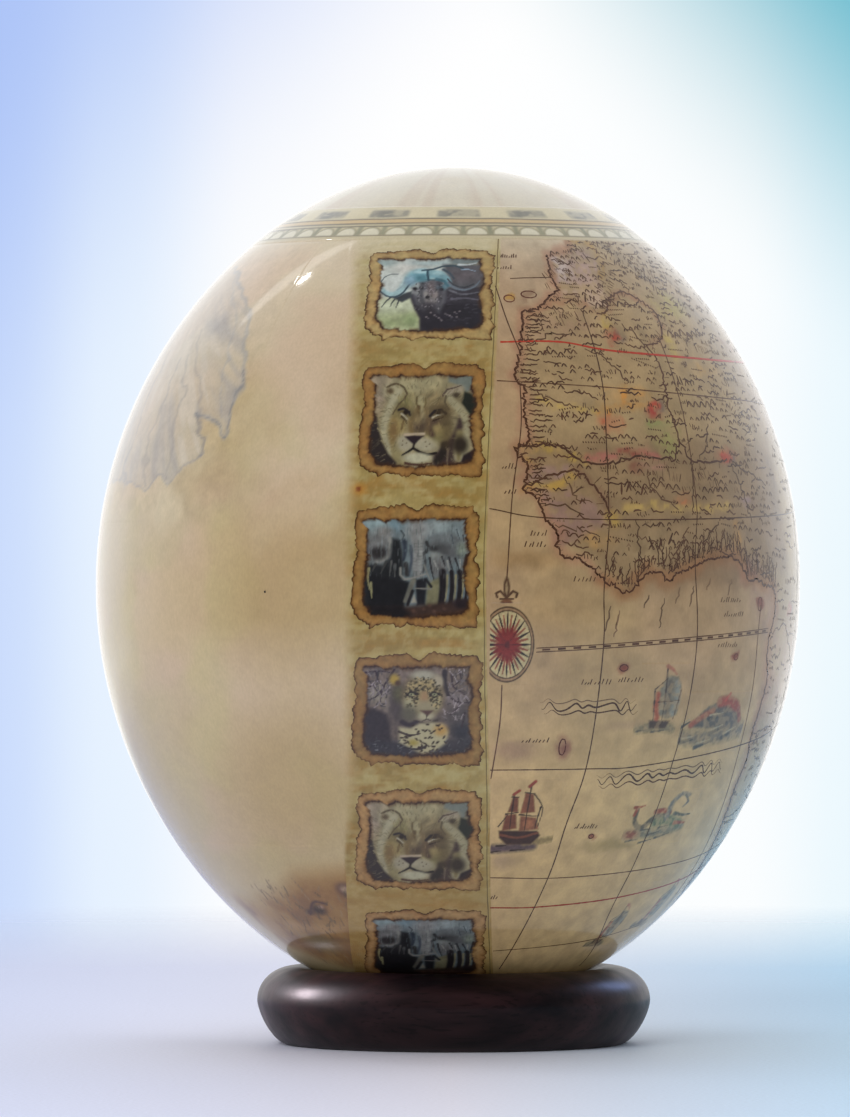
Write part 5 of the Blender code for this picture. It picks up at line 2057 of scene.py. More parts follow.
def paint_rose(art: Canvas) -> None:
    """A compass rose with a red middle, rays and a double rim."""
    middle, reach = (9.3, 102.1), (4.35, 6.85)  # each a turn and a rise
    x, y = (art.x - middle[0]) / reach[0], (art.y - middle[1]) / reach[1]
    away, angle = np.hypot(x, y), np.arctan2(y, x)
    sector = np.abs((angle / (math.pi / 16) + 0.5) % 1.0 - 0.5)
    count = np.floor(angle / (math.pi / 16) + 0.5).astype(int)
    pale, brown = (186, 164, 126), (66, 44, 36)
    art.lay(ease(1.02, 0.98, away), brown)
    art.lay(ease(0.975, 0.955, away), (150, 116, 88))
    art.lay(ease(0.915, 0.895, away), brown)
    art.lay(ease(0.885, 0.865, away), pale)
    spike = ease(0.08, -0.08, sector - 0.85 * (0.93 - away)) * (away < 0.90)
    art.lay(spike * (count % 2 == 0), (50, 36, 32))
    art.lay(0.85 * spike * (count % 2 == 1) * (away < 0.80), (128, 62, 46))
    jag = 0.44 + 0.10 * np.cos(16.0 * angle) + 0.04 * np.cos(5.0 * angle + 1.0)
    art.lay(ease(jag + 0.06, jag - 0.06, away), (126, 40, 32))
    art.lay(0.6 * ease(0.05, -0.05, sector - 0.14) * (count % 4 == 0) * (away < 0.62), (56, 28, 26))
    art.lay(0.5 * ease(0.14, 0.06, away), (72, 30, 28))


def paint_flower(art: Canvas) -> None:
    """The three-petalled flower that marks the rose's north."""
    dark = (86, 58, 44)
    art.oval(9.1, 112.3, 0.5, 1.8, dark, 0.25)
    art.oval(9.1, 112.2, 0.2, 1.2, (150, 122, 92), 0.2)
    art.stroke([(9, 110.6), (8.1, 111.7), (7.4, 111.3), (7.6, 110.6)], 0.38, dark, 0.4)
    art.stroke([(9.2, 110.6), (10.1, 111.7), (10.8, 111.3), (10.6, 110.6)], 0.38, dark, 0.4)
    art.stroke([(8.1, 110.3), (10.1, 110.3)], 0.34, dark, 0.4)
    art.oval(9.1, 109.6, 0.9, 0.7, (112, 72, 52), 0.3)


def paint_galleon(art: Canvas) -> None:
    """A galleon under brown-red sail, on a dark sea."""
    brown, dark, line = (114, 62, 44), (62, 36, 30), (46, 30, 26)
    art.stroke([(7.2, 62.2), (12, 62.6), (16.8, 63)], 1.7, (92, 70, 74), 0.8)
    art.stroke([(15, 63.6), (20.6, 64.4)], 1.1, (146, 120, 82), 0.9)
    art.strokes([[(8, 61.6), (10.4, 61.9)], [(12.4, 62), (15.4, 62.2)], [(9.4, 63), (11.4, 63.1)]], 0.4, line)
    art.patch([(9.6, 66.3), (9.8, 64.8), (11.4, 63.3), (16.4, 63.4), (18, 65.2), (17.2, 66.2)], dark, 0.25)
    art.stroke([(10, 65.4), (13.6, 64.8), (17.4, 65.8)], 0.5, brown, 0.4)
    art.patch([(10.6, 69.6), (12.6, 69.8), (13, 66.8), (10.2, 66.3)], brown, 0.25)
    art.patch([(13.5, 69.4), (16.6, 69), (17.4, 66.6), (13.6, 66.2)], (130, 78, 56), 0.25)
    art.patch([(11.7, 73.2), (12.7, 73.2), (12.9, 70.2), (11, 70.2)], brown, 0.2)
    art.patch([(14, 74.2), (15.5, 73.8), (16.2, 70.2), (13.4, 69.9)], (128, 74, 52), 0.2)
    art.oval(15.4, 67.6, 1, 0.8, (168, 106, 74), 0.7)
    art.strokes(
        [[(11.9, 73.8), (11.6, 66.4)], [(14.9, 75.6), (14.6, 66.2)], [(17.2, 71.2), (16.6, 66.4)]], 0.3,
        line,
    )
    art.strokes(
        [[(10.6, 69.8), (13, 70.1)], [(13.2, 69.7), (16.8, 69.3)], [(11.5, 73.3), (12.9, 73.3)]], 0.28,
        line,
    )
    art.strokes(
        [[(15.6, 74), (17.6, 71), (17.2, 67)], [(13.9, 74.2), (15.7, 73.9)], [(9.4, 67.2), (11, 69.6)]],
        0.26, line,
    )
    art.stroke([(11.8, 73.8), (12.8, 74.6)], 0.55, (140, 62, 48), 0.4)
    art.stroke([(14.6, 75.4), (15.6, 76.4)], 0.6, (140, 62, 48), 0.4)


def paint_ship(art: Canvas, turn: float = 38.2, rise: float = 87.4, size: float = 1.0) -> None:
    """A ship under grey-blue sail, seen from behind.

    Args:
        art: What it is painted on.
        turn: Where its keel is.
        rise: How high its keel is.
        size: How large it is, as a share.
    """
    dark, sail = (70, 50, 44), (120, 110, 98)

    def at(*spots: tuple[float, float]) -> list[tuple[float, float]]:
        """Moves places in the ship's own frame onto the map."""
        return [(turn + size * x, rise + size * y) for x, y in spots]

    art.stroke(at((-4.4, -1.0), (-1.0, -0.7), (2.6, -1.0)), 1.6 * size, (126, 110, 88), 0.8)
    art.strokes([at((-4.8, -1.5), (-2.6, -1.2)), at((-1.6, -1.6), (1, -1.3))], 0.4, (84, 76, 68))
    art.patch(at((-2.6, 0.6), (-2.2, -0.9), (1.2, -0.9), (2.0, 0.5)), dark, 0.25)
    art.patch(
        at((-1.2, 6.4), (0.3, 9.0), (2.4, 8.6), (3.4, 6.2), (3.2, 1.6), (1.0, 0.8), (-1.0, 1.8)), sail,
        0.35,
    )
    art.stroke(at((2.4, 7.4), (2.8, 4.8), (2.2, 2.0)), 1.2 * size, (136, 134, 130), 0.8)
    art.stroke(at((0.8, 7.6), (0.9, 2.0)), 0.9 * size, (92, 82, 76), 0.8)
    art.stroke(at((-1.5, 5.4), (-1.6, 3.0), (-1.0, 1.0)), 1.1 * size, (156, 76, 56), 0.6)
    art.strokes([at((-0.1, 10.4), (0.1, 5), (0.2, 0.6)), at((-2.2, 6), (-1.7, 0.6))], 0.36, (60, 46, 44))
    art.stroke(at((-0.1, 10.6), (1.0, 10.1), (1.9, 9.2)), 0.8 * size, (168, 104, 84), 0.6, end=0.4)
    art.strokes(
        [at((-2.2, 6.4), (0.2, 8.4)), at((-1.2, 4), (3.3, 4.3)), at((3.4, 6.2), (2.6, 0.8))], 0.26, dark,
    )


def paint_whale(art: Canvas) -> None:
    """A dark, red-backed whale among waves."""
    back = [(45, 86.6), (47, 88.8), (49, 90.4), (52.4, 91.4), (56, 90.4), (58.6, 88), (59.4, 86.2)]
    art.stroke([(42.4, 84.6), (48, 84.4), (54, 85), (60.4, 86)], 2.6, (116, 102, 90), 0.8)
    art.patch([*back, (54, 86.2), (49, 86.4)], (86, 78, 76), 0.4)
    art.stroke([(45.4, 87), (48, 88.6), (50.4, 89.6)], 1.2, (146, 76, 60), 0.7)
    art.stroke([(52, 91.2), (54.4, 91.4), (57, 90.4)], 2, (146, 60, 46), 0.5)
    art.stroke([(53.4, 91.6), (54.4, 92.8)], 0.6, (176, 62, 48), 0.4)
    art.stroke([(57.8, 90), (59, 87.8)], 1.1, (128, 62, 54), 0.6)
    for start, stop in (
        ((43.6, 83.6), (46.8, 84.2)), ((47.6, 82.6), (51.4, 83.6)), ((50.6, 85.2), (54.4, 86.4)),
        ((54.6, 84.4), (58.6, 86)), ((42.4, 86.2), (45, 87.6)), ((49.4, 88), (53.4, 88.6)),
    ):
        art.stroke([start, stop], 0.8, (70, 66, 66), 0.5, end=0.2)
        art.stroke(
            [(start[0] + 0.4, start[1] + 0.8), (stop[0], stop[1] + 0.6)], 0.4, (158, 146, 126), 0.5,
            end=0.1,
        )


def paint_serpent(art: Canvas) -> None:
    """A green and red sea serpent that curls out of the waves."""
    coil, red = (90, 78, 66), (142, 66, 48)
    art.stroke([(37.4, 65), (42, 65.2), (47, 65.6), (52, 66.8)], 1.8, (124, 114, 98), 0.8)
    art.oval(38.6, 65, 1.7, 0.9, (142, 76, 58), 0.7)
    art.stroke([(38.2, 70.4), (38.4, 68), (40.6, 66.4), (43.4, 68.6), (46.4, 68.8)], 0.9, coil, 0.4, end=1.5)
    art.stroke([(44, 67.4), (47, 68), (50.6, 67.2)], 2, (98, 106, 82), 0.6)
    art.stroke([(43, 69.8), (45, 70.1), (47, 69.6)], 1, red, 0.5)
    art.stroke([(46.6, 68.6), (46.8, 71.6), (48.6, 73.4), (51, 73.2)], 1.4, (118, 110, 106), 0.5, end=0.7)
    art.stroke([(49.8, 73.2), (51.2, 71.8), (50.2, 70.8)], 0.5, (104, 98, 94), 0.5)
    art.stroke([(48.4, 69.4), (51, 69), (53.4, 69.2)], 0.8, (86, 80, 70), 0.5, end=0.3)
    art.stroke([(49.6, 67.4), (52.8, 67.4)], 0.9, red, 0.6, end=0.4)
    art.stroke([(37.4, 70.8), (38.6, 70.9), (39.8, 71.2)], 0.7, red, 0.5, end=0.3)
    art.stroke([(37.8, 69.2), (38, 70.2)], 0.7, red, 0.5)
    for start, stop in (
        ((38, 63.6), (41, 64)), ((41.6, 63.2), (45, 64)), ((45.6, 64.2), (49.4, 65.2)),
        ((40.6, 66), (43.4, 66.2)), ((45.4, 66.4), (48, 66.9)), ((43, 64.8), (46, 65.6)),
    ):
        art.stroke([start, stop], 0.5, (78, 74, 70), 0.5, end=0.15)


def paint_far_ships(art: Canvas) -> None:
    """Two far ships, low on the egg."""
    paint_ship(art, 50.2, 38.4, 0.95)
    paint_ship(art, 65.4, 43.6, 1.0)


def paint_rear_sea(art: Canvas) -> None:
    """A ship on the far side's ocean."""
    paint_ship(art, 136.0, 66.0, 1.15)


@dataclass(frozen=True)
class Vignette:
    """A small picture on the map, on a sheet fine enough for its details."""

    name: str
    turns: tuple[float, float]
    rises: tuple[float, float]
    size: tuple[int, int]  # rows and columns of points
    painter: Callable[[Canvas], None]
    worn: bool = True  # whether the map's paper shows through it

    def build(self, printed: MapPrint, material: bpy.types.Material) -> bpy.types.Object:
        """Builds the sheet.

        Args:
            printed: The map that it lies on.
            material: Its finish.

        Returns:
            The object, tied to the frame.
        """
        sheet = Sheet.between(printed.form, self.name, self.turns, self.rises, self.size, 0.042 * MM)
        turn, rise = sheet.flat()
        ground = printed.paint(turn, rise)
        art = Canvas(turn, rise, ground.copy())
        self.painter(art)
        inked = ease(4.0, 30.0, np.abs(art.rgb - ground).sum(axis=1))
        muted = Canvas(turn, rise, art.rgb * (0.92, 0.92, 0.88) + (2.0, 5.0, 5.0))
        muted.speckle(0.45, 0.16, 601)
        art.lay(inked, muted.rgb)
        if self.worn:
            wear = cloud(np.column_stack([turn, rise]), 0.8, 602, 3)
            art.lay(0.10 + 0.4 * ease(0.42, 0.62, wear), ground)
        across = turn * printed.form.girth(rise)
        keep = ease(0.0, 0.25, across - printed.grounds.strip_right(rise))
        sheet_paint = ground + keep[:, None] * (art.rgb - ground)
        return sheet.make(sheet_paint, material)


def vignettes() -> list[Vignette]:
    """Every small picture on the map."""
    return [
        Vignette("compass_rose", (6.4, 14.6), (94.6, 109.4), (96, 62), paint_rose, False),
        Vignette("rose_flower", (6.6, 11.8), (109.4, 114.8), (34, 34), paint_flower, False),
        Vignette("galleon", (7.4, 21.0), (61.0, 77.2), (92, 74), paint_galleon, False),
        Vignette("ship", (32.6, 42.9), (84.8, 98.8), (78, 60), paint_ship),
        Vignette("whale", (42.9, 61.2), (81.6, 93.4), (66, 96), paint_whale),
        Vignette("sea_serpent", (36.4, 54.6), (62.6, 74.6), (66, 92), paint_serpent),
        Vignette("far_ships", (45.0, 70.0), (36.4, 54.6), (72, 76), paint_far_ships),
        Vignette("rear_ship", (130.0, 141.6), (63.4, 79.0), (60, 50), paint_rear_sea),
    ]


# ---------------------------------------------------------------- bands, strip and soft prints


@dataclass(frozen=True)
class BorderBands:
    """The bands round the egg's top: dark bars, a tan band, and a row of white half ovals."""

    form: EggForm
    grounds: Grounds
    bars: int = 15
    ovals: int = 45

    def build(self, material: bpy.types.Material) -> bpy.types.Object:
        """Lays the bands right round the egg.

        Args:
            material: Their finish.

        Returns:
            The object, tied to the frame.
        """
        sheet = Sheet.between(
            self.form, "border_bands", (-180.0, 180.0), (183.6, 194.6), (44, 900), 0.07 * MM, (True, False)
        )
        turn, rise = sheet.flat()
        level = rise + 0.35 * (cloud(self.form.points(turn, rise, 0.0) / MM, 14.0, 401) - 0.5)
        art = Canvas(turn, level, self.grounds.paint(turn, rise))
        sides = ease(183.7, 184.6, level) * ease(194.6, 193.8, level)
        band = Canvas(turn, level, (188, 177, 144))
        band.lay(0.8 * ease(189.9, 190.2, level), (206, 196, 162))
        band.lay(ease(188.5, 188.9, level) * ease(190.1, 189.9, level), (196, 170, 124))
        self.bar_row(band, turn, level)
        self.oval_row(band, turn, level)
        for height, width, tone in (
            (190, 0.17, 84), (188.6, 0.15, 98), (187.7, 0.17, 84), (184.9, 0.15, 112),
        ):
            line = ease(width + 0.14, width - 0.06, np.abs(level - height))
            band.lay(0.85 * line, (tone, tone * 0.94, tone * 0.76))
        art.lay(0.9 * sides, band.rgb)
        return sheet.make(art.rgb, material)

    def bar_row(self, band: Canvas, turn: np.ndarray, level: np.ndarray) -> None:
        """Paints the row of long dark bars."""
        pitch = 360.0 / self.bars
        place = (turn - 1.9 + pitch / 2) % pitch - pitch / 2
        patchy = 0.55 + 0.45 * ease(0.35, 0.6, cloud(np.column_stack([turn / 3.0, level]), 1.6, 402))
        bar = ease(8.0, 6.2, np.abs(place)) * ease(190.2, 191.0, level) * ease(193.6, 192.4, level)
        band.lay(0.85 * bar * patchy, (122, 120, 108))
        band.lay(0.5 * bar * ease(0.5, 0.8, patchy) * ease(6.0, 1.0, np.abs(place + 1.5)), (92, 92, 86))

    def oval_row(self, band: Canvas, turn: np.ndarray, level: np.ndarray) -> None:
        """Paints the row of white half ovals, with dark smudges between them."""
        pitch = 360.0 / self.ovals
        place = (turn + 0.9 + pitch / 2) % pitch - pitch / 2
        row = ease(184.9, 185.3, level) * ease(187.8, 187.5, level)
        smudge = cloud(np.column_stack([turn / 6.0, level / 9.0]), 1.0, 403)
        band.lay((0.45 + 0.5 * smudge) * row * ease(2.6, 3.8, np.abs(place)), (112, 116, 92))
        away = np.hypot(place / 3.3, (level - 185.3) / 2.05)
        band.lay(0.7 * ease(1.14, 1.02, away) * row, (132, 128, 102))
        band.lay(ease(0.98, 0.78, away) * row, (208, 203, 180))


@dataclass(frozen=True)
class StripPaper:
    """The ochre paper under the pictures, with a thin line down its right edge."""

    form: EggForm
    grounds: Grounds

    def build(self, material: bpy.types.Material) -> None:
        """Lays the paper and draws the line."""
        rises = (27.0, 184.4)
        rise = np.linspace(*rises, 350)
        girth = self.form.girth(rise)
        edges = (self.grounds.strip_left - 1.4) / girth, (self.grounds.strip_right(rise) + 0.1) / girth
        sheet = Sheet.between(self.form, "strip_paper", edges, rises, (350, 62), 0.032 * MM)
        turn, rise = sheet.flat()
        art = Canvas(turn * self.form.girth(rise), rise, self.grounds.paint(turn, rise))
        shade = ease(2.6, 0.0, self.grounds.strip_right(rise) - art.x)
        art.lay(0.35 * shade, (176, 158, 104))
        sheet.make(art.rgb, material)
        pen = Pen(self.form, "strip_line", 0.05 * MM, 9)
        rises = np.linspace(28.0, 183.8, 60)
        turns = (self.grounds.strip_right(rises) - 0.5) / self.form.girth(rises)
        pen.line(np.column_stack([turns, rises]), 0.17, (124, 106, 66), 1, 1.2, 0.03)
        pen.line([(-30.4, 111.5), (-30.1, 111.6)], 0.5, (44, 38, 36), 0.8)
        pen.make(material)


@dataclass(frozen=True)
class LeafPrint:
    """A large faint feather-like leaf, half round the egg's left side."""

    form: EggForm
    grounds: Grounds
    name: str
    shift: float  # degrees that the print is turned by
    turns: tuple[float, float] = (-124.0, -38.5)
    rises: tuple[float, float] = (124.0, 183.6)

    def build(self, material: bpy.types.Material) -> bpy.types.Object:
        """Lays the print.

        Args:
            material: Its finish.

        Returns:
            The object, tied to the frame.
        """
        turns = tuple(turn + self.shift for turn in self.turns)
        size = (110, 150) if self.shift else (140, 200)
        sheet = Sheet.between(self.form, self.name, turns, self.rises, size, 0.03 * MM)
        turn, rise = sheet.flat()
        ground = self.grounds.paint(turn, rise)
        turn = turn - self.shift
        drift = [cloud(np.column_stack([turn, rise]), 5.0, seed, 4) - 0.5 for seed in (423, 424)]
        art = Canvas(turn + 5.0 * drift[0], rise + 5.0 * drift[1], ground.copy())
        outline = [
            (-73.5, 177.6), (-60, 172.4), (-49.4, 167.6), (-45, 161), (-42.6, 153), (-41.4, 146.4),
            (-41.2, 140), (-45.6, 142.4), (-50, 145.4), (-47.4, 139), (-46.8, 135.6), (-50.6, 133.4),
            (-54.6, 131.4), (-57.2, 134.2), (-61.4, 130.4), (-67, 131.6), (-74, 133), (-84, 130.6),
            (-96, 133.6), (-104, 141), (-110, 152), (-108, 164), (-98, 172), (-86, 177),
        ]
        art.patch(outline, (184, 176, 164), 1.2, 0.45)
        angle = np.arctan2(rise - 178.0, 0.8 * (turn + 78.0))
        away = np.hypot(rise - 178.0, 0.8 * (turn + 78.0))
        ribs = cloud(np.column_stack([angle * 14.0, away / 22.0]), 1.0, 421, 4)
        veins = Canvas(art.x, art.y, art.rgb.copy())
        veins.lay(0.6 * ease(0.48, 0.64, ribs), (164, 158, 152))
        veins.lay(0.55 * ease(0.60, 0.74, ribs), (138, 136, 140))
        veins.lay(0.6 * ease(0.44, 0.34, ribs), (200, 192, 178))
        inside = Canvas(art.x, art.y, (0.0, 0.0, 0.0))
        inside.patch(outline, (1, 1, 1), 1)
        art.lay(0.62 * inside.rgb[:, 0] * ease(4.0, 34.0, away), veins.rgb)
        art.oval(-57, 163, 4, 1.6, (146, 144, 146), 1.6, -30, 0.6)
        blue, grey = (132, 140, 152), (112, 112, 116)
        art.stroke(outline[:9], 1, blue, 0.9, strength=0.4)
        art.stroke(outline[4:9], 0.4, grey, 0.9, strength=0.45)
        art.stroke(outline[8:11], 0.6, grey, 0.9, strength=0.5)
        art.stroke(outline[10:], 0.5, (142, 140, 142), 0.9, strength=0.5)
        art.stroke(
            [(-70, 176), (-53, 166), (-48.6, 158), (-46, 149), (-44, 143)], 0.6, blue, 0.9, strength=0.25,
        )
        for line in (
            [(-62, 162), (-55, 152), (-49.6, 146)], [(-62, 156), (-56.6, 146), (-55, 133)],
            [(-66, 156), (-63.6, 146), (-62, 131.6)], [(-74, 158), (-72, 146), (-71, 133.4)],
            [(-82, 158), (-83, 146), (-85, 132.4)], [(-92, 160), (-96, 148), (-98, 137)],
        ):
            art.stroke(line, 0.5, (132, 128, 128), 0.9, end=0.8, strength=0.35)
        art.speckle(1.6, 0.05, 422)
        return sheet.make(self.faded(art.rgb, ground, turn, rise), material)

    def faded(
        self, paint: np.ndarray, ground: np.ndarray, turn: np.ndarray, rise: np.ndarray
    ) -> np.ndarray:
        """Fades the print into the bare ground at the sheet's edges."""
        x = np.minimum(turn - self.turns[0], self.turns[1] - turn)
        y = np.minimum(rise - self.rises[0], self.rises[1] - rise)
        keep = ease(0.0, 2.0, np.minimum(x, y))[:, None]
        return ground + keep * (paint - ground)


@dataclass(frozen=True)
class BrushPrint:
    """A faint brown print of dry brush and grass, low on the egg's left."""

    form: EggForm
    grounds: Grounds
    name: str
    shift: float  # degrees that the print is turned by
    turns: tuple[float, float] = (-72.0, -14.0)
    rises: tuple[float, float] = (24.0, 63.0)

    def build(self, material: bpy.types.Material) -> bpy.types.Object:
        """Lays the print.

        Args:
            material: Its finish.

        Returns:
            The object, tied to the frame.
        """
        turns = tuple(turn + self.shift for turn in self.turns)
        size = (64, 76) if self.shift else (116, 140)
        sheet = Sheet.between(self.form, self.name, turns, self.rises, size, 0.031 * MM)
        turn, rise = sheet.flat()
        ground = self.grounds.paint(turn, rise)
        turn = turn - self.shift
        art = Canvas(turn, rise, ground.copy())
        puffs = cloud(np.column_stack([turn, rise]), 6.0, 431, 4)
        body = Canvas(turn, rise, (0.0, 0.0, 0.0))
        shape = [
            (-66, 48), (-50, 49), (-42, 52), (-36, 56), (-28, 57), (-20, 58), (-14, 57), (-14, 32),
            (-24, 30), (-44, 31), (-62, 38),
        ]
        body.patch(shape, (1, 1, 1), 4)
        cover = body.rgb[:, 0]
        art.lay(0.9 * cover, (160, 124, 72))
        art.lay(0.75 * cover * ease(0.36, 0.60, puffs) * ease(58.0, 50.0, rise), (134, 98, 60))
        art.lay(0.6 * cover * ease(0.50, 0.70, puffs) * ease(56.0, 47.0, rise), (118, 88, 62))
        art.oval(-31, 50, 9, 3.4, (134, 98, 66), 1.9, 8, 0.6)
        art.oval(-30, 38, 14, 4, (144, 112, 78), 2.6, 0, 0.7)
        art.stroke([(-50, 43), (-36, 42), (-22, 45), (-14, 44)], 2.2, (176, 140, 96), 0.9, strength=0.6)
        art.stroke([(-46, 37), (-34, 39), (-20, 37)], 1.4, (118, 92, 72), 0.9, strength=0.5)
        art.oval(-35, 47.4, 2, 1.1, (66, 50, 44), 0.7)
        art.oval(-38.2, 46.8, 1.2, 0.7, (84, 64, 54), 0.7)
        art.oval(-33.8, 48.2, 0.8, 0.5, (150, 122, 104), 0.7)
        art.stroke([(-38.6, 46.2), (-35.2, 49.4), (-31.6, 49)], 0.6, (84, 62, 56), 0.7)
        art.oval(-24.9, 52.7, 2, 1.6, (98, 72, 62), 0.6)
        art.oval(-24.9, 52.8, 1.1, 0.8, (158, 132, 108), 0.6)
        art.oval(-43, 37.6, 6, 2.4, (118, 116, 84), 0.9, 0, 0.6)
        chance = np.random.default_rng(432)
        for _ in range(130):
            x, y = chance.uniform(-54.0, -21.0), chance.uniform(31.0, 53.0)
            tone = chance.uniform(78.0, 150.0)
            stop = (x + chance.uniform(-1.4, 1.4), y + chance.uniform(0.8, 3.0))
            art.stroke([(x, y), stop], 0.5, (tone, tone * 0.86, tone * 0.66), 0.7, end=0.15, strength=0.6)
        keep = ease(0.0, 2.0, np.minimum(rise - self.rises[0], self.rises[1] - rise))
        keep *= ease(0.0, 8.0, turn - self.turns[0])
        if self.shift:
            keep *= ease(0.0, 12.0, self.turns[1] - turn)
        return sheet.make(ground + keep[:, None] * (art.rgb - ground), material)


# ---------------------------------------------------------------- the ring stand


@dataclass(frozen=True)
class RingStand:
    """The turned ring, in metres, with a finer surface than the frame's own."""

    wall: float = 0.0134  # how thick it is from its outer side to its hole
    widest: float = 0.0081  # the height at which it is that thick
    rounding: float = 1.5  # how square its lower curve is: 2 is an ellipse, and less is flatter
    foot: float = 0.0030  # how wide the flat that it stands on is
    segments: int = 256
    arc_points: int = 22

    def section(self, outer: float, height: float) -> np.ndarray:
        """The wall's section, from the top down its outer side and up the hole.

        Args:
            outer: The ring's outer radius.
            height: The ring's height.

        Returns:
            Radii and heights, one pair a row.
        """
        half, foot = self.wall / 2, self.foot / 2
        angle = np.linspace(0.0, math.pi / 2, self.arc_points, endpoint=False)
        power = 2.0 / self.rounding
        upper = np.column_stack(
            [half * np.sin(angle), self.widest + (height - self.widest) * np.cos(angle)]
        )
        lower = np.column_stack(
            [
                foot + (half - foot) * np.cos(angle) ** power,
                self.widest * (1.0 - np.sin(angle) ** power),
            ]
        )
        right = np.vstack([upper, lower, [[foot, 0.0]]])
        left = right[:0:-1] * (-1.0, 1.0)
        return np.vstack([right, left]) + (outer - half, 0.0)

    def build(self, material: bpy.types.Material) -> bpy.types.Object:
        """Turns the section about the ring's axis.

        Args:
            material: Its finish.

        Returns:
            The object, tied to the frame.
        """
        low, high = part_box("ring_stand")
        outer = (high.x - low.x) / 2
        section = self.section(outer, high.z - low.z)
        angle = np.linspace(0.0, 2 * math.pi, self.segments, endpoint=False)[:, None]
        radius, height = section.T
        places = np.stack(
            [
                (low.x + high.x) / 2 + radius * np.cos(angle),
                radius * np.sin(angle),
                np.broadcast_to(height, (self.segments, len(height))),
            ],
            axis=-1,
        ).reshape(-1, 3)
        count = len(section)
        here = np.arange(self.segments)[:, None] * count + np.arange(count)
        across = np.roll(here, -1, axis=0)
        faces = np.stack(
            [here, np.roll(here, -1, axis=1), np.roll(across, -1, axis=1), across], axis=-1
        ).reshape(-1, 4)
        piece = new_mesh("turned_ring", places, [faces])
        finish_piece(piece, material, stands_for="ring_stand")
        return piece


# ---------------------------------------------------------------- the studio


@dataclass(frozen=True)
class Lamp:
    """A soft oval light that faces the egg, or one piece only."""

    name: str
    place: tuple[float, float, float]
    size: tuple[float, float]  # width and height in metres
    power: float  # watts
    colour: tuple[float, float, float] = (1.0, 1.0, 1.0)
    mirrored: bool = True  # whether the varnish reflects its shape
    along: tuple[float, float, float] = (1.0, 0.0, 0.0)  # the way its width runs
    aim: tuple[float, float, float] = (0.0, 0.0, 0.085)  # the place that it faces

    def hang(self, only: bpy.types.Object | None = None) -> None:
        """Adds the light to the scene.

        Args:
            only: The one piece that it lights, or None for all of them.
        """
        data = bpy.data.lights.new(self.name, "AREA")
        data.shape = "ELLIPSE"
        data.size, data.size_y = self.size
        data.energy = self.power
        data.color = self.colour
        lamp = bpy.data.objects.new(self.name, data)
        back = (Vector(self.place) - Vector(self.aim)).normalized()
        wide = (Vector(self.along) - back * back.dot(Vector(self.along))).normalized()
        turned = Matrix((wide, back.cross(wide), back)).transposed()
        lamp.matrix_world = Matrix.Translation(self.place) @ turned.to_4x4()
        lamp.visible_glossy = self.mirrored
        if only:
            lit = bpy.data.collections.new(self.name)
            lit.objects.link(only)
            lamp.light_linking.receiver_collection = lit
        bpy.context.scene.collection.objects.link(lamp)


SLOPE = (-0.34, 0.07, -0.283)  # the way the window's bright streak runs
LAMPS = (
    Lamp("fill", (-0.8, -1.75, 1.0), (1.8, 1.3), 24.0, (1.0, 0.975, 0.93), False),
    Lamp("fill_left", (-1.7, -0.5, 0.25), (1.0, 0.8), 6.0, (1.0, 0.98, 0.94), False),
    Lamp("fill_right", (1.6, -1.0, 0.25), (1.2, 0.9), 11.5, (1.0, 0.98, 0.92), False),
    Lamp("top", (-0.2, 0.1, 1.8), (1.2, 1.2), 4.0, (1.0, 0.98, 0.96), False),
    Lamp("window", (-0.80, 0.455, 1.31), (0.075, 0.04), 0.55, (1.0, 1.0, 0.97), True, SLOPE),
    Lamp("doorway", (-0.786, 0.575, 1.25), (0.66, 0.13), 0.34, (1.0, 0.97, 0.94), True, SLOPE),
)
RING_SHEEN = Lamp(
    "ring_sheen", (-1.25, 0.30, 0.62), (0.6, 0.35), 42.0, (1.0, 0.86, 0.94), aim=(0.0, 0.0, 0.01),
)
RING_GLINT = Lamp("ring_glint", (1.0, 0.9, 0.75), (0.4, 0.5), 5.0, (0.36, 0.50, 1.0), aim=(0.0, 0.0, 0.01))


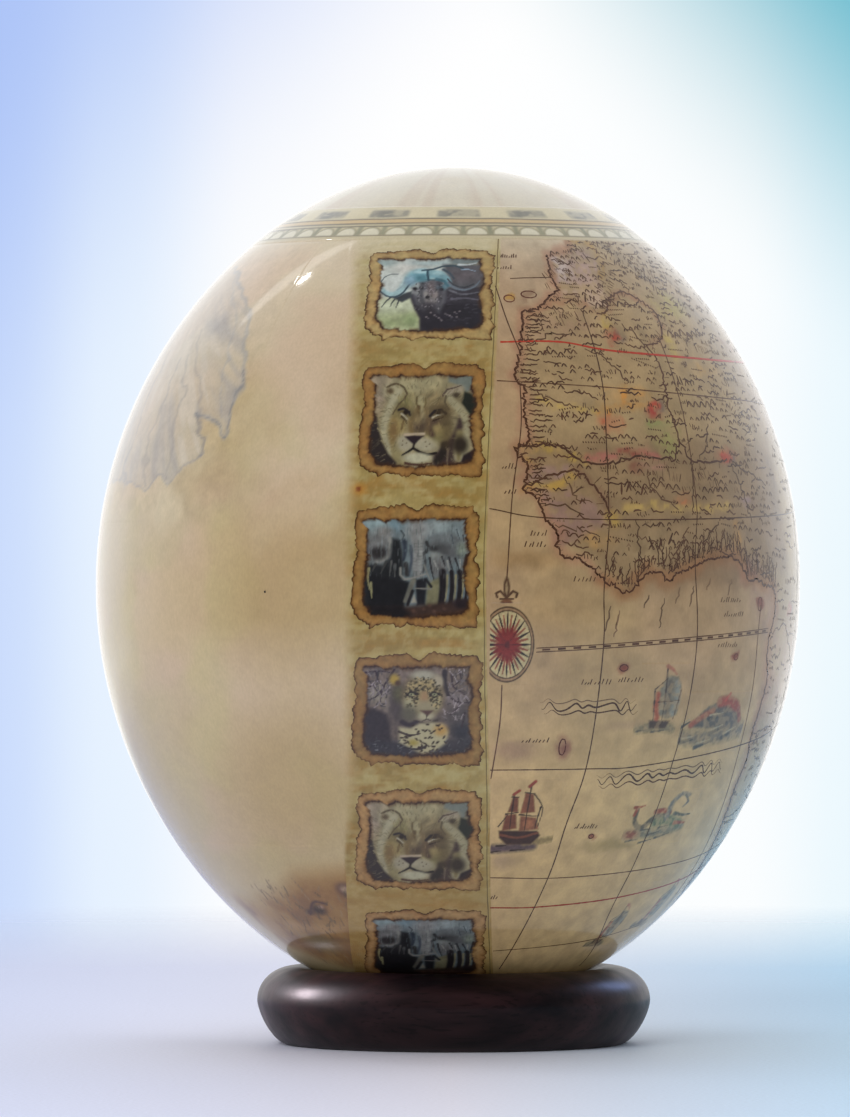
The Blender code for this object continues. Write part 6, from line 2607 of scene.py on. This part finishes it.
class Room:
    """The surroundings: pale for the camera, brightest behind the egg for the reflections."""

    def __init__(self) -> None:
        """Starts an empty set of nodes."""
        self.world = bpy.data.worlds.new("pale_room")
        self.world.use_nodes = True
        self.tree = self.world.node_tree

    def ramp(
        self,
        source: bpy.types.NodeSocket,
        low: float,
        high: float,
        stops: Sequence[tuple[float, tuple[float, float, float]]],
    ) -> bpy.types.NodeSocket:
        """Turns a number into a colour.

        Args:
            source: The number.
            low: The number at the ramp's start.
            high: The number at its end.
            stops: Places along the ramp, from 0 to 1, and their colours.

        Returns:
            The colour.
        """
        scale = self.tree.nodes.new("ShaderNodeMapRange")
        scale.inputs["From Min"].default_value = low
        scale.inputs["From Max"].default_value = high
        self.tree.links.new(source, scale.inputs["Value"])
        node = self.tree.nodes.new("ShaderNodeValToRGB")
        node.color_ramp.interpolation = "EASE"
        elements = node.color_ramp.elements
        while len(elements) < len(stops):
            elements.new(0.5)
        for element, (place, colour) in zip(elements, stops, strict=True):
            element.position = place
            element.color = (*colour, 1.0)
        self.tree.links.new(scale.outputs["Result"], node.inputs["Fac"])
        return node.outputs["Color"]

    def combine(
        self, operation: str, first: bpy.types.NodeSocket, second: bpy.types.NodeSocket
    ) -> bpy.types.NodeSocket:
        """Adds two numbers, or takes the second from the first."""
        node = self.tree.nodes.new("ShaderNodeMath")
        node.operation = operation
        self.tree.links.new(first, node.inputs[0])
        self.tree.links.new(second, node.inputs[1])
        return node.outputs[0]

    def mix(
        self,
        share: bpy.types.NodeSocket,
        first: bpy.types.NodeSocket,
        second: bpy.types.NodeSocket | tuple[float, float, float],
    ) -> bpy.types.NodeSocket:
        """Blends two colours.

        Args:
            share: How much of the second one shows, from 0 to 1.
            first: The first colour.
            second: The second colour, from a socket or as three numbers.

        Returns:
            The blend.
        """
        node = self.tree.nodes.new("ShaderNodeMix")
        node.data_type = "RGBA"
        under, over = (socket for socket in node.inputs if socket.type == "RGBA")
        self.tree.links.new(share, node.inputs[0])
        self.tree.links.new(first, under)
        if isinstance(second, tuple):
            over.default_value = (*second, 1.0)
        else:
            self.tree.links.new(second, over)
        return next(socket for socket in node.outputs if socket.type == "RGBA")

    def build(self) -> None:
        """Builds the surroundings and puts them in the scene."""
        nodes, links = self.tree.nodes, self.tree.links
        black, white, grey = (0.0, 0.0, 0.0), (1.0, 1.0, 1.0), (0.75, 0.75, 0.75)
        place = nodes.new("ShaderNodeTexCoord")
        parts = nodes.new("ShaderNodeSeparateXYZ")
        links.new(place.outputs["Generated"], parts.inputs[0])
        x, y, z = parts.outputs
        light = self.ramp(
            y, -1.0, 1.0,
            (
                (0.0, (0.07, 0.07, 0.07)), (0.5, (0.33, 0.33, 0.35)), (0.76, (0.80, 0.82, 0.86)),
                (0.88, (1.12, 1.16, 1.22)), (1.0, (1.25, 1.25, 1.25)),
            ),
        )
        seen = self.ramp(
            x, -0.35, 0.35,
            (
                (0.30, (0.92, 0.95, 1.0)), (0.4286, (0.60, 0.72, 0.98)), (0.4486, (0.80, 0.89, 1.0)),
                (0.4714, (0.98, 0.99, 1.0)), (0.5, white), (0.5514, (0.97, 0.99, 1.0)),
                (0.5714, (0.84, 0.94, 0.99)), (0.70, (0.94, 0.97, 1.0)),
            ),
        )
        corner = self.ramp(
            self.combine("ADD", x, z), 0.068, 0.30, ((0.0, black), (0.2586, white), (1.0, black))
        )
        seen = self.mix(corner, seen, (0.10, 0.48, 0.60))
        edge = self.ramp(
            self.combine("SUBTRACT", z, x), 0.050, 0.30, ((0.0, black), (0.272, grey), (1.0, black))
        )
        seen = self.mix(edge, seen, (0.36, 0.50, 0.92))
        path = nodes.new("ShaderNodeLightPath")
        shown = self.mix(path.outputs["Is Camera Ray"], light, seen)
        links.new(shown, nodes["Background"].inputs["Color"])
        bpy.context.scene.world = self.world


@dataclass(frozen=True)
class Studio:
    """A pale tabletop, soft lights and a level camera in front of the egg."""

    camera_place: tuple[float, float, float] = (-0.00424, -1.6, 0.09017)
    lens: float = 277.06  # millimetres, on a 36 mm sensor
    floor_radius: float = 0.66
    floor_corners: int = 96

    def camera(self) -> None:
        """Places the camera, which looks level along +Y."""
        data = bpy.data.cameras.new("camera")
        data.lens = self.lens
        data.clip_start, data.clip_end = 0.05, 20.0
        camera = bpy.data.objects.new("camera", data)
        camera.location = self.camera_place
        camera.rotation_euler = (math.pi / 2, 0.0, 0.0)
        bpy.context.scene.collection.objects.link(camera)
        bpy.context.scene.camera = camera

    def floor(self) -> None:
        """Lays the tabletop."""
        count = self.floor_corners
        angle = np.linspace(0.0, 2 * math.pi, count, endpoint=False)
        rim = np.column_stack([np.cos(angle), np.sin(angle), np.zeros(count)]) * self.floor_radius
        places = np.vstack([rim, [[0.0, 0.0, 0.0]]])
        here = np.arange(count)
        faces = np.column_stack([here, np.roll(here, -1), np.full(count, count)])
        mesh = bpy.data.meshes.new("floor")
        mesh.from_pydata(places.tolist(), [], faces.tolist())
        floor = bpy.data.objects.new("floor", mesh)
        floor.data.materials.append(PlainFloor().material())
        bpy.context.scene.collection.objects.link(floor)

    def build(self) -> None:
        """Sets everything up."""
        self.camera()
        self.floor()
        Room().build()
        for lamp in LAMPS:
            lamp.hang()
        bpy.context.scene.view_settings.view_transform = "Standard"


def main() -> None:
    """Builds every piece in order."""
    logging.basicConfig(level=logging.INFO, format="%(message)s")
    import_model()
    form = EggForm.of_frame()
    Studio().build()
    print_finish = VarnishedPrint("varnished_print").material()
    grounds = Grounds(form)
    ring = RingStand().build(TurnedWood().material())
    RING_SHEEN.hang(ring)
    RING_GLINT.hang(ring)
    Shell(form, grounds).build(print_finish)
    for index, shift in enumerate((0.0, -84.0)):
        LeafPrint(form, grounds, f"leaf_print_{index}", shift).build(print_finish)
    for index, shift in enumerate((0.0, -58.0, -112.0)):
        BrushPrint(form, grounds, f"brush_print_{index}", shift).build(print_finish)
    printed = MapPrint(form, grounds)
    printed.sheets(print_finish)
    printed.draw(print_finish)
    for vignette in vignettes():
        vignette.build(printed, print_finish)
    BorderBands(form, grounds).build(print_finish)
    StripPaper(form, grounds).build(print_finish)
    for picture in picture_strip():
        picture.build(form, print_finish)
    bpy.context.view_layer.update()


if __name__ == "__main__":
    main()
